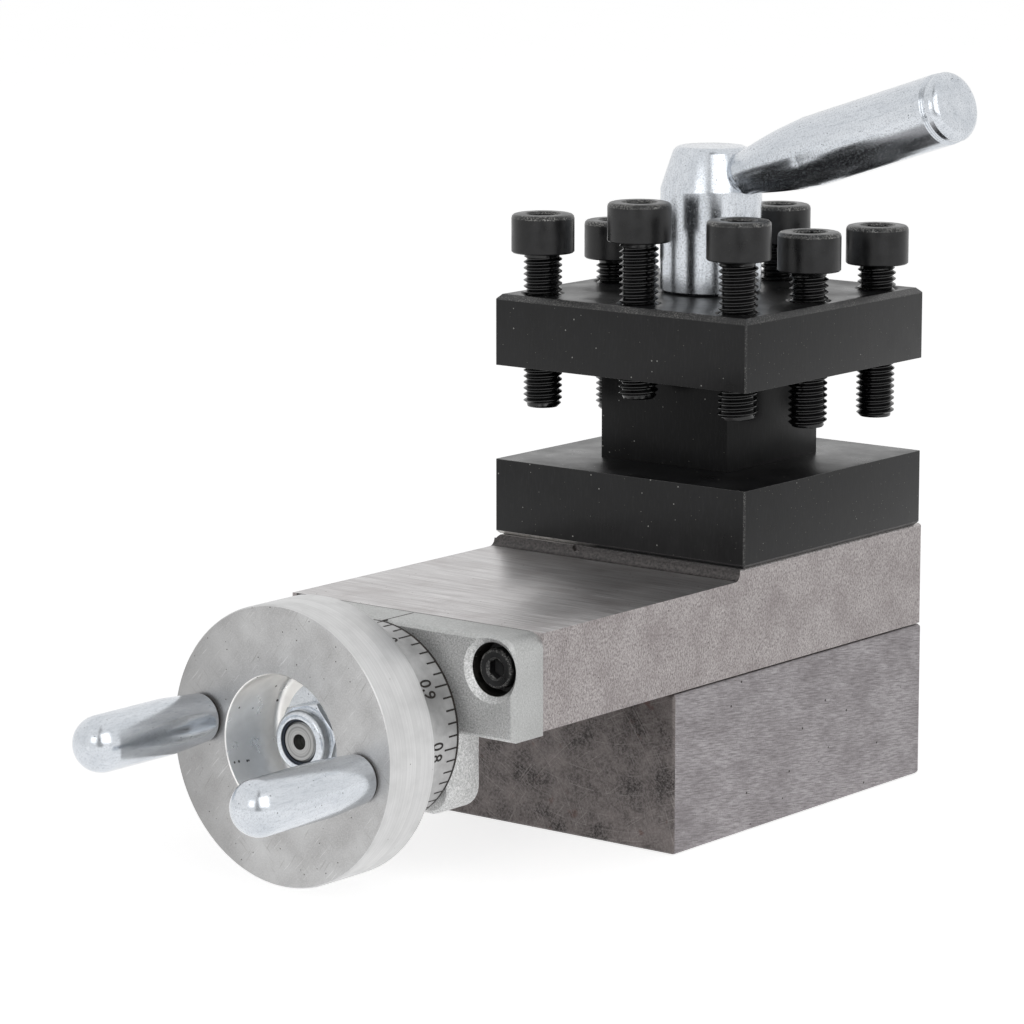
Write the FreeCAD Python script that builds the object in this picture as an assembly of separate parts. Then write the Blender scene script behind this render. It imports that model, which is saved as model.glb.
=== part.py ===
import FreeCAD, Part
import math
import os

from FreeCAD import Vector

# Compound slide of a small lathe with a four-way tool post, in millimetres.
# X runs across the slide, Y along the feed away from the handwheel, Z up.
# The origin lies on the tool post's axis, on the underside of the base.

# Clearances
running_fit = 0.05
face_play = 0.1
slide_gap = 0.3
seat_gap = 0.05

# Base block and its dovetail
base_width = 63.0
base_length = 87.9
base_height = 32.4
post_to_back = 33.5
dovetail_top_width = 40.0
dovetail_height = 9.0
dovetail_angle = 60.0
dovetail_edge = 0.6
base_edge = 0.5
base_corner = 0.8
groove_clearance = 0.5
groove_end_wall = 6.0
bolt_spacing = 40.0
bolt_hole_radius = 3.3
bolt_head_radius = 5.3
bolt_head_depth = 8.0

# Feed screw nut
feed_nut_width = 16.0
feed_nut_length = 20.0
feed_nut_setback = 7.5
feed_nut_below_screw = 13.4
feed_nut_edge = 0.5
nut_screw_radius = 2.5
nut_screw_tip_gap = 2.1
nut_screw_head_radius = 4.25
nut_screw_head_height = 5.0
nut_screw_key = 4.0
nut_screw_key_depth = 2.5

# Top slide
slide_set_in = 0.2
slide_length = 129.6
slide_height = 19.0
land_length = 66.0
land_height = 2.3
land_fillet = 1.6
land_left_chamfer = 1.2
land_notch_radius = 1.25
land_notch_depth = 0.9
land_notch_x = -9.7
slide_corner = 0.8
slide_edge = 0.4
travel_forward = 40.0

# Gib strip, its set screws and lock nuts
gib_thickness = 2.2
gib_edge_gap = 0.4
gib_screw_count = 3
gib_screw_spacing = 24.0
gib_screw_radius = 2.0
gib_screw_point = 1.6
gib_screw_point_radius = 0.7
gib_screw_bite = 1.0
gib_screw_stickout = 6.4
gib_screw_key = 2.0
gib_nut_across_flats = 7.0
gib_nut_height = 3.2
gib_nut_bevel = 0.5

# End bracket, its bush and its two screws
bracket_thickness = 9.0
bracket_bar_depth = 19.8
bracket_tab_half_width = 15.7
bracket_tab_depth = 36.5
bracket_top_corner = 3.0
bracket_tab_corner = 5.0
bracket_inner_corner = 2.5
bracket_edge = 0.7
bracket_boss_radius = 14.5
bracket_boss_rise = 1.3
bracket_screw_inset = 5.6
bracket_screw_drop = 6.4
bracket_screw_radius = 2.0
bracket_screw_length = 14.0
bracket_screw_head_radius = 3.5
bracket_screw_head_height = 4.0
bracket_screw_key = 3.0
bracket_screw_key_depth = 2.0
small_screw_edge = 0.4
bracket_counterbore_radius = 5.2
bracket_counterbore_chamfer = 1.2
bracket_head_recess = 1.5
bush_radius = 6.0
bush_flange_radius = 7.5
bush_flange_thickness = 1.0

# Feed screw
screw_below_dovetail = 9.0
journal_radius = 4.0
thread_radius = 5.0
thread_end_gap = 1.7
thread_end_chamfer = 1.0
collar_radius = 7.0
collar_thickness = 3.0
relief_radius = 4.0
relief_length = 3.0
screw_tip_setback = 0.3
screw_tip_chamfer = 0.5
centre_hole_radius = 1.5
centre_hole_depth = 4.0

# Handwheel, key, washer and lock nut
wheel_radius = 26.9
wheel_thickness = 12.85
wheel_recess_radius = 13.75
wheel_recess_depth = 14.7
wheel_hub_radius = 16.5
wheel_hub_length = 16.25
wheel_edge = 0.5
wheel_recess_edge = 0.7
wheel_recess_fillet = 1.2
key_width = 2.5
key_height = 2.5
key_length = 9.0
washer_radius = 10.4
washer_thickness = 1.6
washer_bore_play = 0.2
washer_edge = 0.3
lock_nut_across_flats = 13.0
lock_nut_height = 8.0
lock_nut_hex_height = 5.6
lock_nut_bevel = 0.8
lock_nut_collar_radius = 6.0
lock_nut_collar_rim = 1.0
lock_nut_mouth_radius = 4.4
lock_nut_turn = 13.0
insert_radius = 5.1
insert_height = 1.9
insert_setback = 0.5

# Graduated dial and its friction spring
dial_radius = 19.55
dial_disc_gap = 0.25
dial_back_gap = 0.2
dial_edge = 0.3
spring_width = 4.0
spring_thickness = 0.4
spring_arc = 70.0
spring_groove_depth = 0.9

# Wheel handles
handle_inset = 7.3
handle_tilt = -8.9
handle_radius = 5.4
handle_length = 33.1
handle_taper_length = 9.0
handle_base_radius = 4.7
handle_neck_radius = 4.4
handle_neck_length = 0.8
handle_stud_radius = 2.5
handle_stud_length = 9.0

# Tool post
post_overhang = 0.2
tool_slot_depth = 15.7
post_lower_plate = 15.7
post_slot_height = 19.65
post_upper_plate = 14.75
post_top_chamfer = 1.1
post_bottom_chamfer = 0.7
post_corner_chamfer = 0.3
post_hole_chamfer = 0.6

# Tool screws: place round the post and gap under each head, at rest
tool_screw_inset = 7.0
tool_screw_radius = 4.0
tool_screw_length = 32.0
tool_screw_head_radius = 6.5
tool_screw_head_height = 8.0
tool_screw_head_edge = 0.7
tool_screw_tip_edge = 0.9
tool_screw_key = 6.0
tool_screw_key_depth = 4.0
tool_screw_places = [
    (-1, -1, 8.5),
    (0, -1, 12.6),
    (1, -1, 10.7),
    (1, 0, 6.1),
    (1, 1, 5.2),
    (0, 1, 7.9),
    (-1, 1, 6.7),
    (-1, 0, 5.0),
]

# Clamp stud, hub and lever
stud_radius = 6.0
stud_thread_radius = 5.0
stud_above_post = 20.0
stud_end_chamfer = 0.8
hub_radius = 10.5
hub_top_radius = 7.6
hub_height = 30.0
hub_cylinder_height = 21.3
hub_top_fillet = 1.2
hub_bottom_chamfer = 0.5
lever_height = 22.1
lever_direction = -6.2
lever_rise = 17.5
lever_length = 67.8
lever_root_radius = 4.6
lever_root_start = 4.5
lever_neck_end = 11.0
lever_flare_end = 29.5
lever_flare_bulge = 0.35
lever_radius = 7.15
lever_end_fillet = 2.5

# Places that follow from the sizes
back_y = post_to_back
slide_width = base_width - 2 * slide_set_in
post_half_width = base_width / 2 + post_overhang
post_core_half_width = post_half_width - tool_slot_depth
tool_screw_offset = post_half_width - tool_screw_inset
bracket_screw_x = slide_width / 2 - bracket_screw_inset
handle_pitch_radius = wheel_radius - handle_inset
base_front_y = back_y - base_length
slide_front_y = back_y - slide_length
bracket_front_y = slide_front_y - bracket_thickness
boss_front_y = bracket_front_y - bracket_boss_rise
hub_back_y = boss_front_y - face_play
disc_back_y = hub_back_y - wheel_hub_length
wheel_front_y = disc_back_y - wheel_thickness
recess_floor_y = wheel_front_y + wheel_recess_depth
washer_front_y = recess_floor_y - washer_thickness
lock_nut_front_y = washer_front_y - lock_nut_height
screw_front_y = lock_nut_front_y + screw_tip_setback
groove_back_y = back_y - groove_end_wall
thread_back_y = groove_back_y - thread_end_gap - travel_forward
feed_nut_front_y = base_front_y + feed_nut_setback
feed_nut_back_y = feed_nut_front_y + feed_nut_length
collar_front_y = slide_front_y + bush_flange_thickness + face_play
collar_back_y = collar_front_y + collar_thickness

dovetail_top_z = base_height + dovetail_height
screw_z = dovetail_top_z - screw_below_dovetail
roof_z = dovetail_top_z + slide_gap
slide_bottom_z = base_height + slide_gap
deck_z = slide_bottom_z + slide_height
land_z = deck_z + land_height
bracket_bar_bottom = deck_z - bracket_bar_depth
bracket_tab_bottom = deck_z - bracket_tab_depth
bracket_screw_z = deck_z - bracket_screw_drop
bracket_screw_seat_y = bracket_front_y + bracket_head_recess + bracket_screw_head_height
post_bottom_z = land_z + seat_gap
slot_bottom_z = post_bottom_z + post_lower_plate
slot_top_z = slot_bottom_z + post_slot_height
post_top_z = slot_top_z + post_upper_plate
hub_bottom_z = post_top_z + seat_gap
gib_screw_z = base_height + dovetail_height / 2
gib_middle_y = back_y - base_length / 2
feed_nut_floor = screw_z - feed_nut_below_screw
feed_nut_middle_y = (feed_nut_front_y + feed_nut_back_y) / 2
nut_screw_seat_z = nut_screw_head_height + slide_gap
nut_screw_length = screw_z - thread_radius - nut_screw_tip_gap - nut_screw_seat_z

flank_lean = 1 / math.tan(math.radians(dovetail_angle))
flank_step = 1 / math.sin(math.radians(dovetail_angle))
groove_radius = thread_radius + groove_clearance
dial_bore_radius = wheel_hub_radius + running_fit


def box(x0, x1, y0, y1, z0, z1):
    return Part.makeBox(x1 - x0, y1 - y0, z1 - z0, Vector(x0, y0, z0))


def rod_x(radius, x0, x1, y, z):
    return Part.makeCylinder(radius, x1 - x0, Vector(x0, y, z), Vector(1, 0, 0))


def rod_y(radius, y0, y1, x, z):
    return Part.makeCylinder(radius, y1 - y0, Vector(x, y0, z), Vector(0, 1, 0))


def rod_z(radius, z0, z1, x=0, y=0):
    return Part.makeCylinder(radius, z1 - z0, Vector(x, y, z0), Vector(0, 0, 1))


def turned_on_screw(points):
    """A solid of revolution about the feed screw, from (y, radius) points."""
    corners = [Vector(radius, y, screw_z) for y, radius in points]
    face = Part.Face(Part.makePolygon(corners + corners[:1]))
    return face.revolve(Vector(0, 0, screw_z), Vector(0, 1, 0), 360)


def turned_upright(points, x=0, y=0):
    """A solid of revolution about an upright axis, from (radius, z) points."""
    corners = [Vector(x + radius, y, z) for radius, z in points]
    face = Part.Face(Part.makePolygon(corners + corners[:1]))
    return face.revolve(Vector(x, y, 0), Vector(0, 0, 1), 360)


def prism_along_y(section, y0, y1):
    """A solid of one section of (x, z) points, from y0 to y1."""
    corners = [Vector(x, y0, z) for x, z in section]
    face = Part.Face(Part.makePolygon(corners + corners[:1]))
    return face.extrude(Vector(0, y1 - y0, 0))


def hexagon(across_flats, height, centre, direction):
    """A hexagonal prism that starts at centre and grows along direction."""
    corner_radius = across_flats / math.sqrt(3)
    corners = []
    for step in range(7):
        angle = math.radians(60 * step)
        corners.append(Vector(corner_radius * math.cos(angle), corner_radius * math.sin(angle), 0))
    prism = Part.Face(Part.makePolygon(corners)).extrude(Vector(0, 0, height))
    prism.Placement = FreeCAD.Placement(centre, FreeCAD.Rotation(Vector(0, 0, 1), direction))
    return prism


def edges_where(shape, test):
    """The edges whose every end and middle point passes the test."""
    picked = []
    for edge in shape.Edges:
        middle = edge.valueAt((edge.FirstParameter + edge.LastParameter) / 2)
        points = [vertex.Point for vertex in edge.Vertexes] + [middle]
        if all(test(point) for point in points):
            picked.append(edge)
    return picked


def near(a, b):
    return abs(a - b) < 1e-4


def near_any(value, *targets):
    return any(near(value, target) for target in targets)


def cap_screw(radius, length, head_radius, head_height, key, key_depth, head_edge, tip_edge):
    """A socket cap screw with its underhead at z 0 and its shank pointing down."""
    screw = turned_upright([
        (0, head_height),
        (head_radius - head_edge, head_height),
        (head_radius, head_height - head_edge),
        (head_radius, 0),
        (radius, 0),
        (radius, tip_edge - length),
        (radius - tip_edge, -length),
        (0, -length),
    ])
    return screw.cut(hexagon(key, key_depth, Vector(0, 0, head_height - key_depth), Vector(0, 0, 1)))


def placed(shape, place, direction):
    """A copy whose own +Z points along direction, moved to place."""
    copy = shape.copy()
    copy.Placement = FreeCAD.Placement(place, FreeCAD.Rotation(Vector(0, 0, 1), direction))
    return copy


def flank_x(z, top_half_width, offset):
    """Half width of the dovetail at height z, moved outwards by offset square to its flank."""
    return top_half_width - (dovetail_top_z - z) * flank_lean + offset * flank_step


def make_base_block():
    half = base_width / 2
    top_half = dovetail_top_width / 2
    block = box(-half, half, base_front_y, back_y, 0, base_height)
    upright = edges_where(
        block, lambda p: near(abs(p.x), half) and near_any(p.y, base_front_y, back_y)
    )
    block = block.makeFillet(base_corner, upright)
    rims = edges_where(block, lambda p: near_any(p.z, 0, base_height))
    block = block.makeChamfer(base_edge, rims)
    neck = flank_x(base_height - base_edge, top_half, 0)
    section = [
        (-neck, base_height - base_edge),
        (neck, base_height - base_edge),
        (top_half - dovetail_edge * flank_lean, dovetail_top_z - dovetail_edge),
        (top_half - dovetail_edge, dovetail_top_z),
        (dovetail_edge - top_half, dovetail_top_z),
        (dovetail_edge * flank_lean - top_half, dovetail_top_z - dovetail_edge),
    ]
    block = block.fuse(prism_along_y(section, base_front_y, back_y)).removeSplitter()
    block = block.cut(rod_y(groove_radius, base_front_y, groove_back_y, 0, screw_z))
    block = block.cut(
        box(-groove_radius, groove_radius, base_front_y, groove_back_y, screw_z, dovetail_top_z)
    )
    mouth_radius = collar_radius + groove_clearance
    mouth_back_y = feed_nut_front_y - slide_gap
    block = block.cut(rod_y(mouth_radius, base_front_y, mouth_back_y, 0, screw_z))
    pocket_half = feed_nut_width / 2 + seat_gap
    pocket = box(
        -pocket_half,
        pocket_half,
        feed_nut_front_y - seat_gap,
        feed_nut_back_y + seat_gap,
        feed_nut_floor,
        dovetail_top_z,
    )
    block = block.cut(pocket)
    block = block.cut(rod_z(nut_screw_radius + seat_gap, 0, feed_nut_floor, 0, feed_nut_middle_y))
    head_hole = rod_z(nut_screw_head_radius + slide_gap, 0, nut_screw_seat_z, 0, feed_nut_middle_y)
    block = block.cut(head_hole)
    groove_floor_z = screw_z - groove_radius
    for side in (-1, 1):
        y = side * bolt_spacing / 2
        block = block.cut(rod_z(bolt_hole_radius, 0, screw_z, 0, y))
        block = block.cut(rod_z(bolt_head_radius, groove_floor_z - bolt_head_depth, screw_z, 0, y))
    return block


def make_feed_nut():
    half = feed_nut_width / 2
    top_z = dovetail_top_z - feed_nut_edge
    nut = box(-half, half, feed_nut_front_y, feed_nut_back_y, feed_nut_floor, top_z)
    nut = nut.makeChamfer(feed_nut_edge, edges_where(nut, lambda p: near(p.z, top_z)))
    nut = nut.cut(rod_y(thread_radius + running_fit, feed_nut_front_y, feed_nut_back_y, 0, screw_z))
    tapped_top = nut_screw_seat_z + nut_screw_length + seat_gap
    tapped = rod_z(nut_screw_radius + seat_gap, feed_nut_floor, tapped_top, 0, feed_nut_middle_y)
    return nut.cut(tapped)


def make_nut_screw():
    screw = cap_screw(
        nut_screw_radius,
        nut_screw_length,
        nut_screw_head_radius,
        nut_screw_head_height,
        nut_screw_key,
        nut_screw_key_depth,
        small_screw_edge,
        small_screw_edge,
    )
    return placed(screw, Vector(0, feed_nut_middle_y, nut_screw_seat_z), Vector(0, 0, -1))


def slide_channel():
    """The dovetail channel, wider on its left side by the gib strip."""
    top_half = dovetail_top_width / 2
    right = running_fit
    left = 2 * running_fit + gib_thickness
    section = [
        (flank_x(slide_bottom_z, top_half, right), slide_bottom_z),
        (flank_x(roof_z, top_half, right), roof_z),
        (-flank_x(roof_z, top_half, left), roof_z),
        (-flank_x(slide_bottom_z, top_half, left), slide_bottom_z),
    ]
    return prism_along_y(section, slide_front_y, back_y)


def gib_screw_ys():
    first = -(gib_screw_count - 1) / 2
    return [gib_middle_y + (first + number) * gib_screw_spacing for number in range(gib_screw_count)]


def gib_outer_x():
    """Where the gib's outer face stands at the height of its screws."""
    return -flank_x(gib_screw_z, dovetail_top_width / 2, running_fit + gib_thickness)


def make_gib_screw(y):
    point_x = gib_outer_x() + gib_screw_bite
    shoulder_x = point_x - gib_screw_point
    end_x = -slide_width / 2 - gib_screw_stickout
    body = rod_x(gib_screw_radius, end_x, shoulder_x, y, gib_screw_z)
    cone = Part.makeCone(
        gib_screw_radius,
        gib_screw_point_radius,
        gib_screw_point,
        Vector(shoulder_x, y, gib_screw_z),
        Vector(1, 0, 0),
    )
    socket = hexagon(gib_screw_key, gib_screw_key, Vector(end_x, y, gib_screw_z), Vector(1, 0, 0))
    return body.fuse(cone).removeSplitter().cut(socket)


def make_gib_locknut(y):
    seat_x = -slide_width / 2
    face_x = seat_x - gib_nut_height
    seat = Vector(seat_x, y, gib_screw_z)
    nut = hexagon(gib_nut_across_flats, gib_nut_height, seat, Vector(-1, 0, 0))
    blank = rod_x(gib_nut_across_flats / math.sqrt(3), face_x, seat_x, y, gib_screw_z)
    blank = blank.makeChamfer(gib_nut_bevel, edges_where(blank, lambda p: near(p.x, face_x)))
    return nut.common(blank).cut(rod_x(gib_screw_radius + seat_gap, face_x, seat_x, y, gib_screw_z))


def make_gib_strip():
    top_half = dovetail_top_width / 2
    low_z = slide_bottom_z + gib_edge_gap
    high_z = dovetail_top_z - gib_edge_gap
    inner = running_fit
    outer = running_fit + gib_thickness
    section = [
        (-flank_x(low_z, top_half, inner), low_z),
        (-flank_x(high_z, top_half, inner), high_z),
        (-flank_x(high_z, top_half, outer), high_z),
        (-flank_x(low_z, top_half, outer), low_z),
    ]
    strip = prism_along_y(section, slide_front_y + slide_gap, back_y - slide_gap)
    for y in gib_screw_ys():
        shoulder_x = gib_outer_x() + gib_screw_bite + seat_gap - gib_screw_point
        dimple = Part.makeCone(
            gib_screw_radius + seat_gap,
            gib_screw_point_radius + seat_gap,
            gib_screw_point,
            Vector(shoulder_x, y, gib_screw_z),
            Vector(1, 0, 0),
        )
        entry = rod_x(gib_screw_radius + seat_gap, -slide_width / 2, shoulder_x, y, gib_screw_z)
        strip = strip.cut(dimple).cut(entry)
    return strip


def make_slide_block():
    half = slide_width / 2
    land_front_y = back_y - land_length
    block = box(-half, half, slide_front_y, back_y, slide_bottom_z, deck_z)
    land = box(-half, half, land_front_y, back_y, deck_z, land_z)
    block = block.fuse(land).removeSplitter()
    step = edges_where(block, lambda p: near(p.z, deck_z) and near(p.y, land_front_y))
    block = block.makeFillet(land_fillet, step)
    corners = edges_where(block, lambda p: near(abs(p.x), half) and near(p.y, back_y))
    block = block.makeFillet(slide_corner, corners)
    crest = edges_where(block, lambda p: near(p.z, land_z))
    block = block.makeChamfer(slide_edge, crest)
    left_corner = [
        (-half, land_z - land_left_chamfer),
        (-half, land_z),
        (land_left_chamfer - half, land_z),
    ]
    block = block.cut(prism_along_y(left_corner, land_front_y, back_y))
    notch_back_y = land_front_y + land_notch_depth
    notch = rod_y(land_notch_radius, slide_front_y, notch_back_y, land_notch_x, land_z)
    block = block.cut(notch).cut(slide_channel())
    for y in gib_screw_ys():
        hole_end_x = gib_outer_x() + gib_screw_bite + seat_gap
        block = block.cut(rod_x(gib_screw_radius + seat_gap, -half, hole_end_x, y, gib_screw_z))
    tapped_radius = bracket_screw_radius + seat_gap
    tapped_end_y = bracket_screw_seat_y + bracket_screw_length + seat_gap
    for x in (-bracket_screw_x, bracket_screw_x):
        block = block.cut(rod_y(tapped_radius, slide_front_y, tapped_end_y, x, bracket_screw_z))
    return block.cut(rod_z(stud_thread_radius + seat_gap, roof_z, land_z))


def make_end_bracket():
    half = slide_width / 2
    bar = box(-half, half, bracket_front_y, slide_front_y, bracket_bar_bottom, deck_z)
    top_corners = edges_where(bar, lambda p: near(abs(p.x), half) and near(p.z, deck_z))
    bar = bar.makeFillet(bracket_top_corner, top_corners)
    tab_half = bracket_tab_half_width
    tab = box(-tab_half, tab_half, bracket_front_y, slide_front_y, bracket_tab_bottom, deck_z)
    tab_corners = edges_where(tab, lambda p: near(abs(p.x), tab_half) and near(p.z, bracket_tab_bottom))
    tab = tab.makeFillet(bracket_tab_corner, tab_corners)
    body = bar.fuse(tab).removeSplitter()
    inner = edges_where(body, lambda p: near(abs(p.x), tab_half) and near(p.z, bracket_bar_bottom))
    body = body.makeFillet(bracket_inner_corner, inner)
    front_rim = edges_where(body, lambda p: near(p.y, bracket_front_y))
    body = body.makeChamfer(bracket_edge, front_rim)
    boss = rod_y(bracket_boss_radius, boss_front_y, slide_front_y, 0, screw_z)
    body = body.fuse(boss).removeSplitter()
    body = body.cut(rod_y(bush_radius, boss_front_y, slide_front_y, 0, screw_z))
    hole_radius = bracket_screw_radius + seat_gap
    bore_radius = bracket_counterbore_radius
    for x in (-bracket_screw_x, bracket_screw_x):
        body = body.cut(rod_y(hole_radius, bracket_front_y, slide_front_y, x, bracket_screw_z))
        body = body.cut(rod_y(bore_radius, bracket_front_y, bracket_screw_seat_y, x, bracket_screw_z))
        mouth = Part.makeCone(
            bore_radius + bracket_counterbore_chamfer,
            bore_radius,
            bracket_counterbore_chamfer,
            Vector(x, bracket_front_y, bracket_screw_z),
            Vector(0, 1, 0),
        )
        body = body.cut(mouth)
    return body


def make_bracket_screw(side):
    screw = cap_screw(
        bracket_screw_radius,
        bracket_screw_length,
        bracket_screw_head_radius,
        bracket_screw_head_height,
        bracket_screw_key,
        bracket_screw_key_depth,
        small_screw_edge,
        small_screw_edge,
    )
    place = Vector(side * bracket_screw_x, bracket_screw_seat_y, bracket_screw_z)
    return placed(screw, place, Vector(0, -1, 0))


def make_bracket_bush():
    bore = journal_radius + running_fit
    return turned_on_screw([
        (boss_front_y, bore),
        (boss_front_y, bush_radius),
        (slide_front_y, bush_radius),
        (slide_front_y, bush_flange_radius),
        (slide_front_y + bush_flange_thickness, bush_flange_radius),
        (slide_front_y + bush_flange_thickness, bore),
    ])


def make_feed_screw():
    screw = turned_on_screw([
        (screw_front_y, 0),
        (screw_front_y, journal_radius - screw_tip_chamfer),
        (screw_front_y + screw_tip_chamfer, journal_radius),
        (collar_front_y, journal_radius),
        (collar_front_y, collar_radius),
        (collar_back_y, collar_radius),
        (collar_back_y, relief_radius),
        (collar_back_y + relief_length, relief_radius),
        (collar_back_y + relief_length, thread_radius),
        (thread_back_y - thread_end_chamfer, thread_radius),
        (thread_back_y, thread_radius - thread_end_chamfer),
        (thread_back_y, 0),
    ])
    hole_end_y = screw_front_y + centre_hole_depth
    screw = screw.cut(rod_y(centre_hole_radius, screw_front_y, hole_end_y, 0, screw_z))
    return screw.cut(key_shape(seat_gap))


def key_shape(clearance):
    """The key between screw and wheel, grown by a clearance on its sides and foot."""
    half = key_width / 2 + clearance
    key_front_y = (recess_floor_y + hub_back_y - key_length) / 2
    top_z = screw_z + journal_radius + key_height / 2
    bottom_z = screw_z + journal_radius - key_height / 2 - clearance
    return box(-half, half, key_front_y, key_front_y + key_length, bottom_z, top_z)


def handle_places():
    angle = math.radians(handle_tilt)
    x = handle_pitch_radius * math.cos(angle)
    z = handle_pitch_radius * math.sin(angle)
    return [(-x, screw_z - z), (x, screw_z + z)]


def make_handwheel():
    floor_edge_radius = wheel_recess_radius - wheel_recess_fillet
    wheel = turned_on_screw([
        (hub_back_y, journal_radius + seat_gap),
        (hub_back_y, wheel_hub_radius),
        (disc_back_y, wheel_hub_radius),
        (disc_back_y, wheel_radius - wheel_edge),
        (disc_back_y - wheel_edge, wheel_radius),
        (wheel_front_y + wheel_edge, wheel_radius),
        (wheel_front_y, wheel_radius - wheel_edge),
        (wheel_front_y, wheel_recess_radius + wheel_recess_edge),
        (wheel_front_y + wheel_recess_edge, wheel_recess_radius),
        (recess_floor_y - wheel_recess_fillet, wheel_recess_radius),
        (recess_floor_y, floor_edge_radius),
        (recess_floor_y, journal_radius + seat_gap),
    ])
    half = key_width / 2 + seat_gap
    keyway_top_z = screw_z + journal_radius + key_height / 2 + seat_gap
    wheel = wheel.cut(box(-half, half, recess_floor_y, hub_back_y, screw_z, keyway_top_z))
    for x, z in handle_places():
        wheel = wheel.cut(rod_y(handle_stud_radius + seat_gap, wheel_front_y, disc_back_y, x, z))
    return wheel.cut(spring_ring(dial_bore_radius, spring_width + seat_gap))


def spring_ring(outer, width):
    """A short arc of a ring round the feed screw, on its lower side, out to a radius."""
    inner = wheel_hub_radius - spring_groove_depth
    middle_y = (hub_back_y + disc_back_y) / 2
    half = math.radians(spring_arc / 2)
    towards = Vector(math.sin(half), 0, -math.cos(half))
    centre = Vector(0, middle_y - width / 2, screw_z)
    across = Vector(0, width, 0)
    start = centre + towards * inner
    end = centre + towards * outer
    face = Part.Face(Part.makePolygon([start, end, end + across, start + across, start]))
    return face.revolve(centre, Vector(0, 1, 0), spring_arc)


def make_dial_spring():
    return spring_ring(wheel_hub_radius - spring_groove_depth + spring_thickness, spring_width)


def make_dial_ring():
    front_y = disc_back_y + dial_disc_gap
    back_rim_y = hub_back_y - dial_back_gap
    return turned_on_screw([
        (front_y, dial_bore_radius),
        (front_y, dial_radius - dial_edge),
        (front_y + dial_edge, dial_radius),
        (back_rim_y - dial_edge, dial_radius),
        (back_rim_y, dial_radius - dial_edge),
        (back_rim_y, dial_bore_radius),
    ])


def make_wheel_washer():
    bore = journal_radius + washer_bore_play
    return turned_on_screw([
        (washer_front_y, bore),
        (washer_front_y, washer_radius - washer_edge),
        (washer_front_y + washer_edge, washer_radius),
        (recess_floor_y, washer_radius),
        (recess_floor_y, bore),
    ])


def make_wheel_nut():
    hex_front_y = washer_front_y - lock_nut_hex_height
    seat = Vector(0, washer_front_y, screw_z)
    hexed = hexagon(lock_nut_across_flats, lock_nut_hex_height, seat, Vector(0, -1, 0))
    hexed.rotate(seat, Vector(0, -1, 0), lock_nut_turn)
    corner_radius = lock_nut_across_flats / math.sqrt(3)
    flat_end_radius = corner_radius - lock_nut_bevel
    blank = turned_on_screw([
        (washer_front_y, 0),
        (washer_front_y, flat_end_radius),
        (washer_front_y - lock_nut_bevel / 2, corner_radius),
        (hex_front_y + lock_nut_bevel / 2, corner_radius),
        (hex_front_y, flat_end_radius),
        (hex_front_y, 0),
    ])
    collar = rod_y(lock_nut_collar_radius, lock_nut_front_y, washer_front_y, 0, screw_z)
    rim = edges_where(collar, lambda p: near(p.y, lock_nut_front_y))
    collar = collar.makeFillet(lock_nut_collar_rim, rim)
    nut = hexed.common(blank).fuse(collar).removeSplitter()
    nut = nut.cut(rod_y(journal_radius + seat_gap, lock_nut_front_y, washer_front_y, 0, screw_z))
    insert_front_y = lock_nut_front_y + insert_setback
    nut = nut.cut(rod_y(insert_radius, insert_front_y, insert_front_y + insert_height, 0, screw_z))
    return nut.cut(rod_y(lock_nut_mouth_radius, lock_nut_front_y, insert_front_y, 0, screw_z))


def make_nut_insert():
    front_y = lock_nut_front_y + insert_setback
    ring = rod_y(insert_radius, front_y, front_y + insert_height, 0, screw_z)
    return ring.cut(rod_y(journal_radius, front_y, front_y + insert_height, 0, screw_z))


def make_wheel_key():
    return key_shape(0)


def make_handle(place):
    x, z = place
    grip_front_y = wheel_front_y - handle_length + handle_radius
    base_y = wheel_front_y - handle_neck_length
    taper_y = base_y - handle_taper_length
    tip = Part.makeSphere(handle_radius, Vector(x, grip_front_y, z))
    grip = rod_y(handle_radius, grip_front_y, taper_y, x, z)
    taper = Part.makeCone(
        handle_radius,
        handle_base_radius,
        handle_taper_length,
        Vector(x, taper_y, z),
        Vector(0, 1, 0),
    )
    neck = rod_y(handle_neck_radius, base_y, wheel_front_y, x, z)
    stud = rod_y(handle_stud_radius, wheel_front_y, wheel_front_y + handle_stud_length, x, z)
    return grip.fuse([tip, taper, neck, stud]).removeSplitter()


def make_post_stud():
    thread_top_z = post_top_z + stud_above_post
    stud = turned_upright([
        (0, roof_z + seat_gap),
        (stud_thread_radius - stud_end_chamfer, roof_z + seat_gap),
        (stud_thread_radius, roof_z + seat_gap + stud_end_chamfer),
        (stud_thread_radius, land_z),
        (stud_radius, land_z),
        (stud_radius, post_top_z - stud_end_chamfer),
        (stud_thread_radius, post_top_z),
        (stud_thread_radius, thread_top_z - stud_end_chamfer),
        (stud_thread_radius - stud_end_chamfer, thread_top_z),
        (0, thread_top_z),
    ])
    return stud


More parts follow.
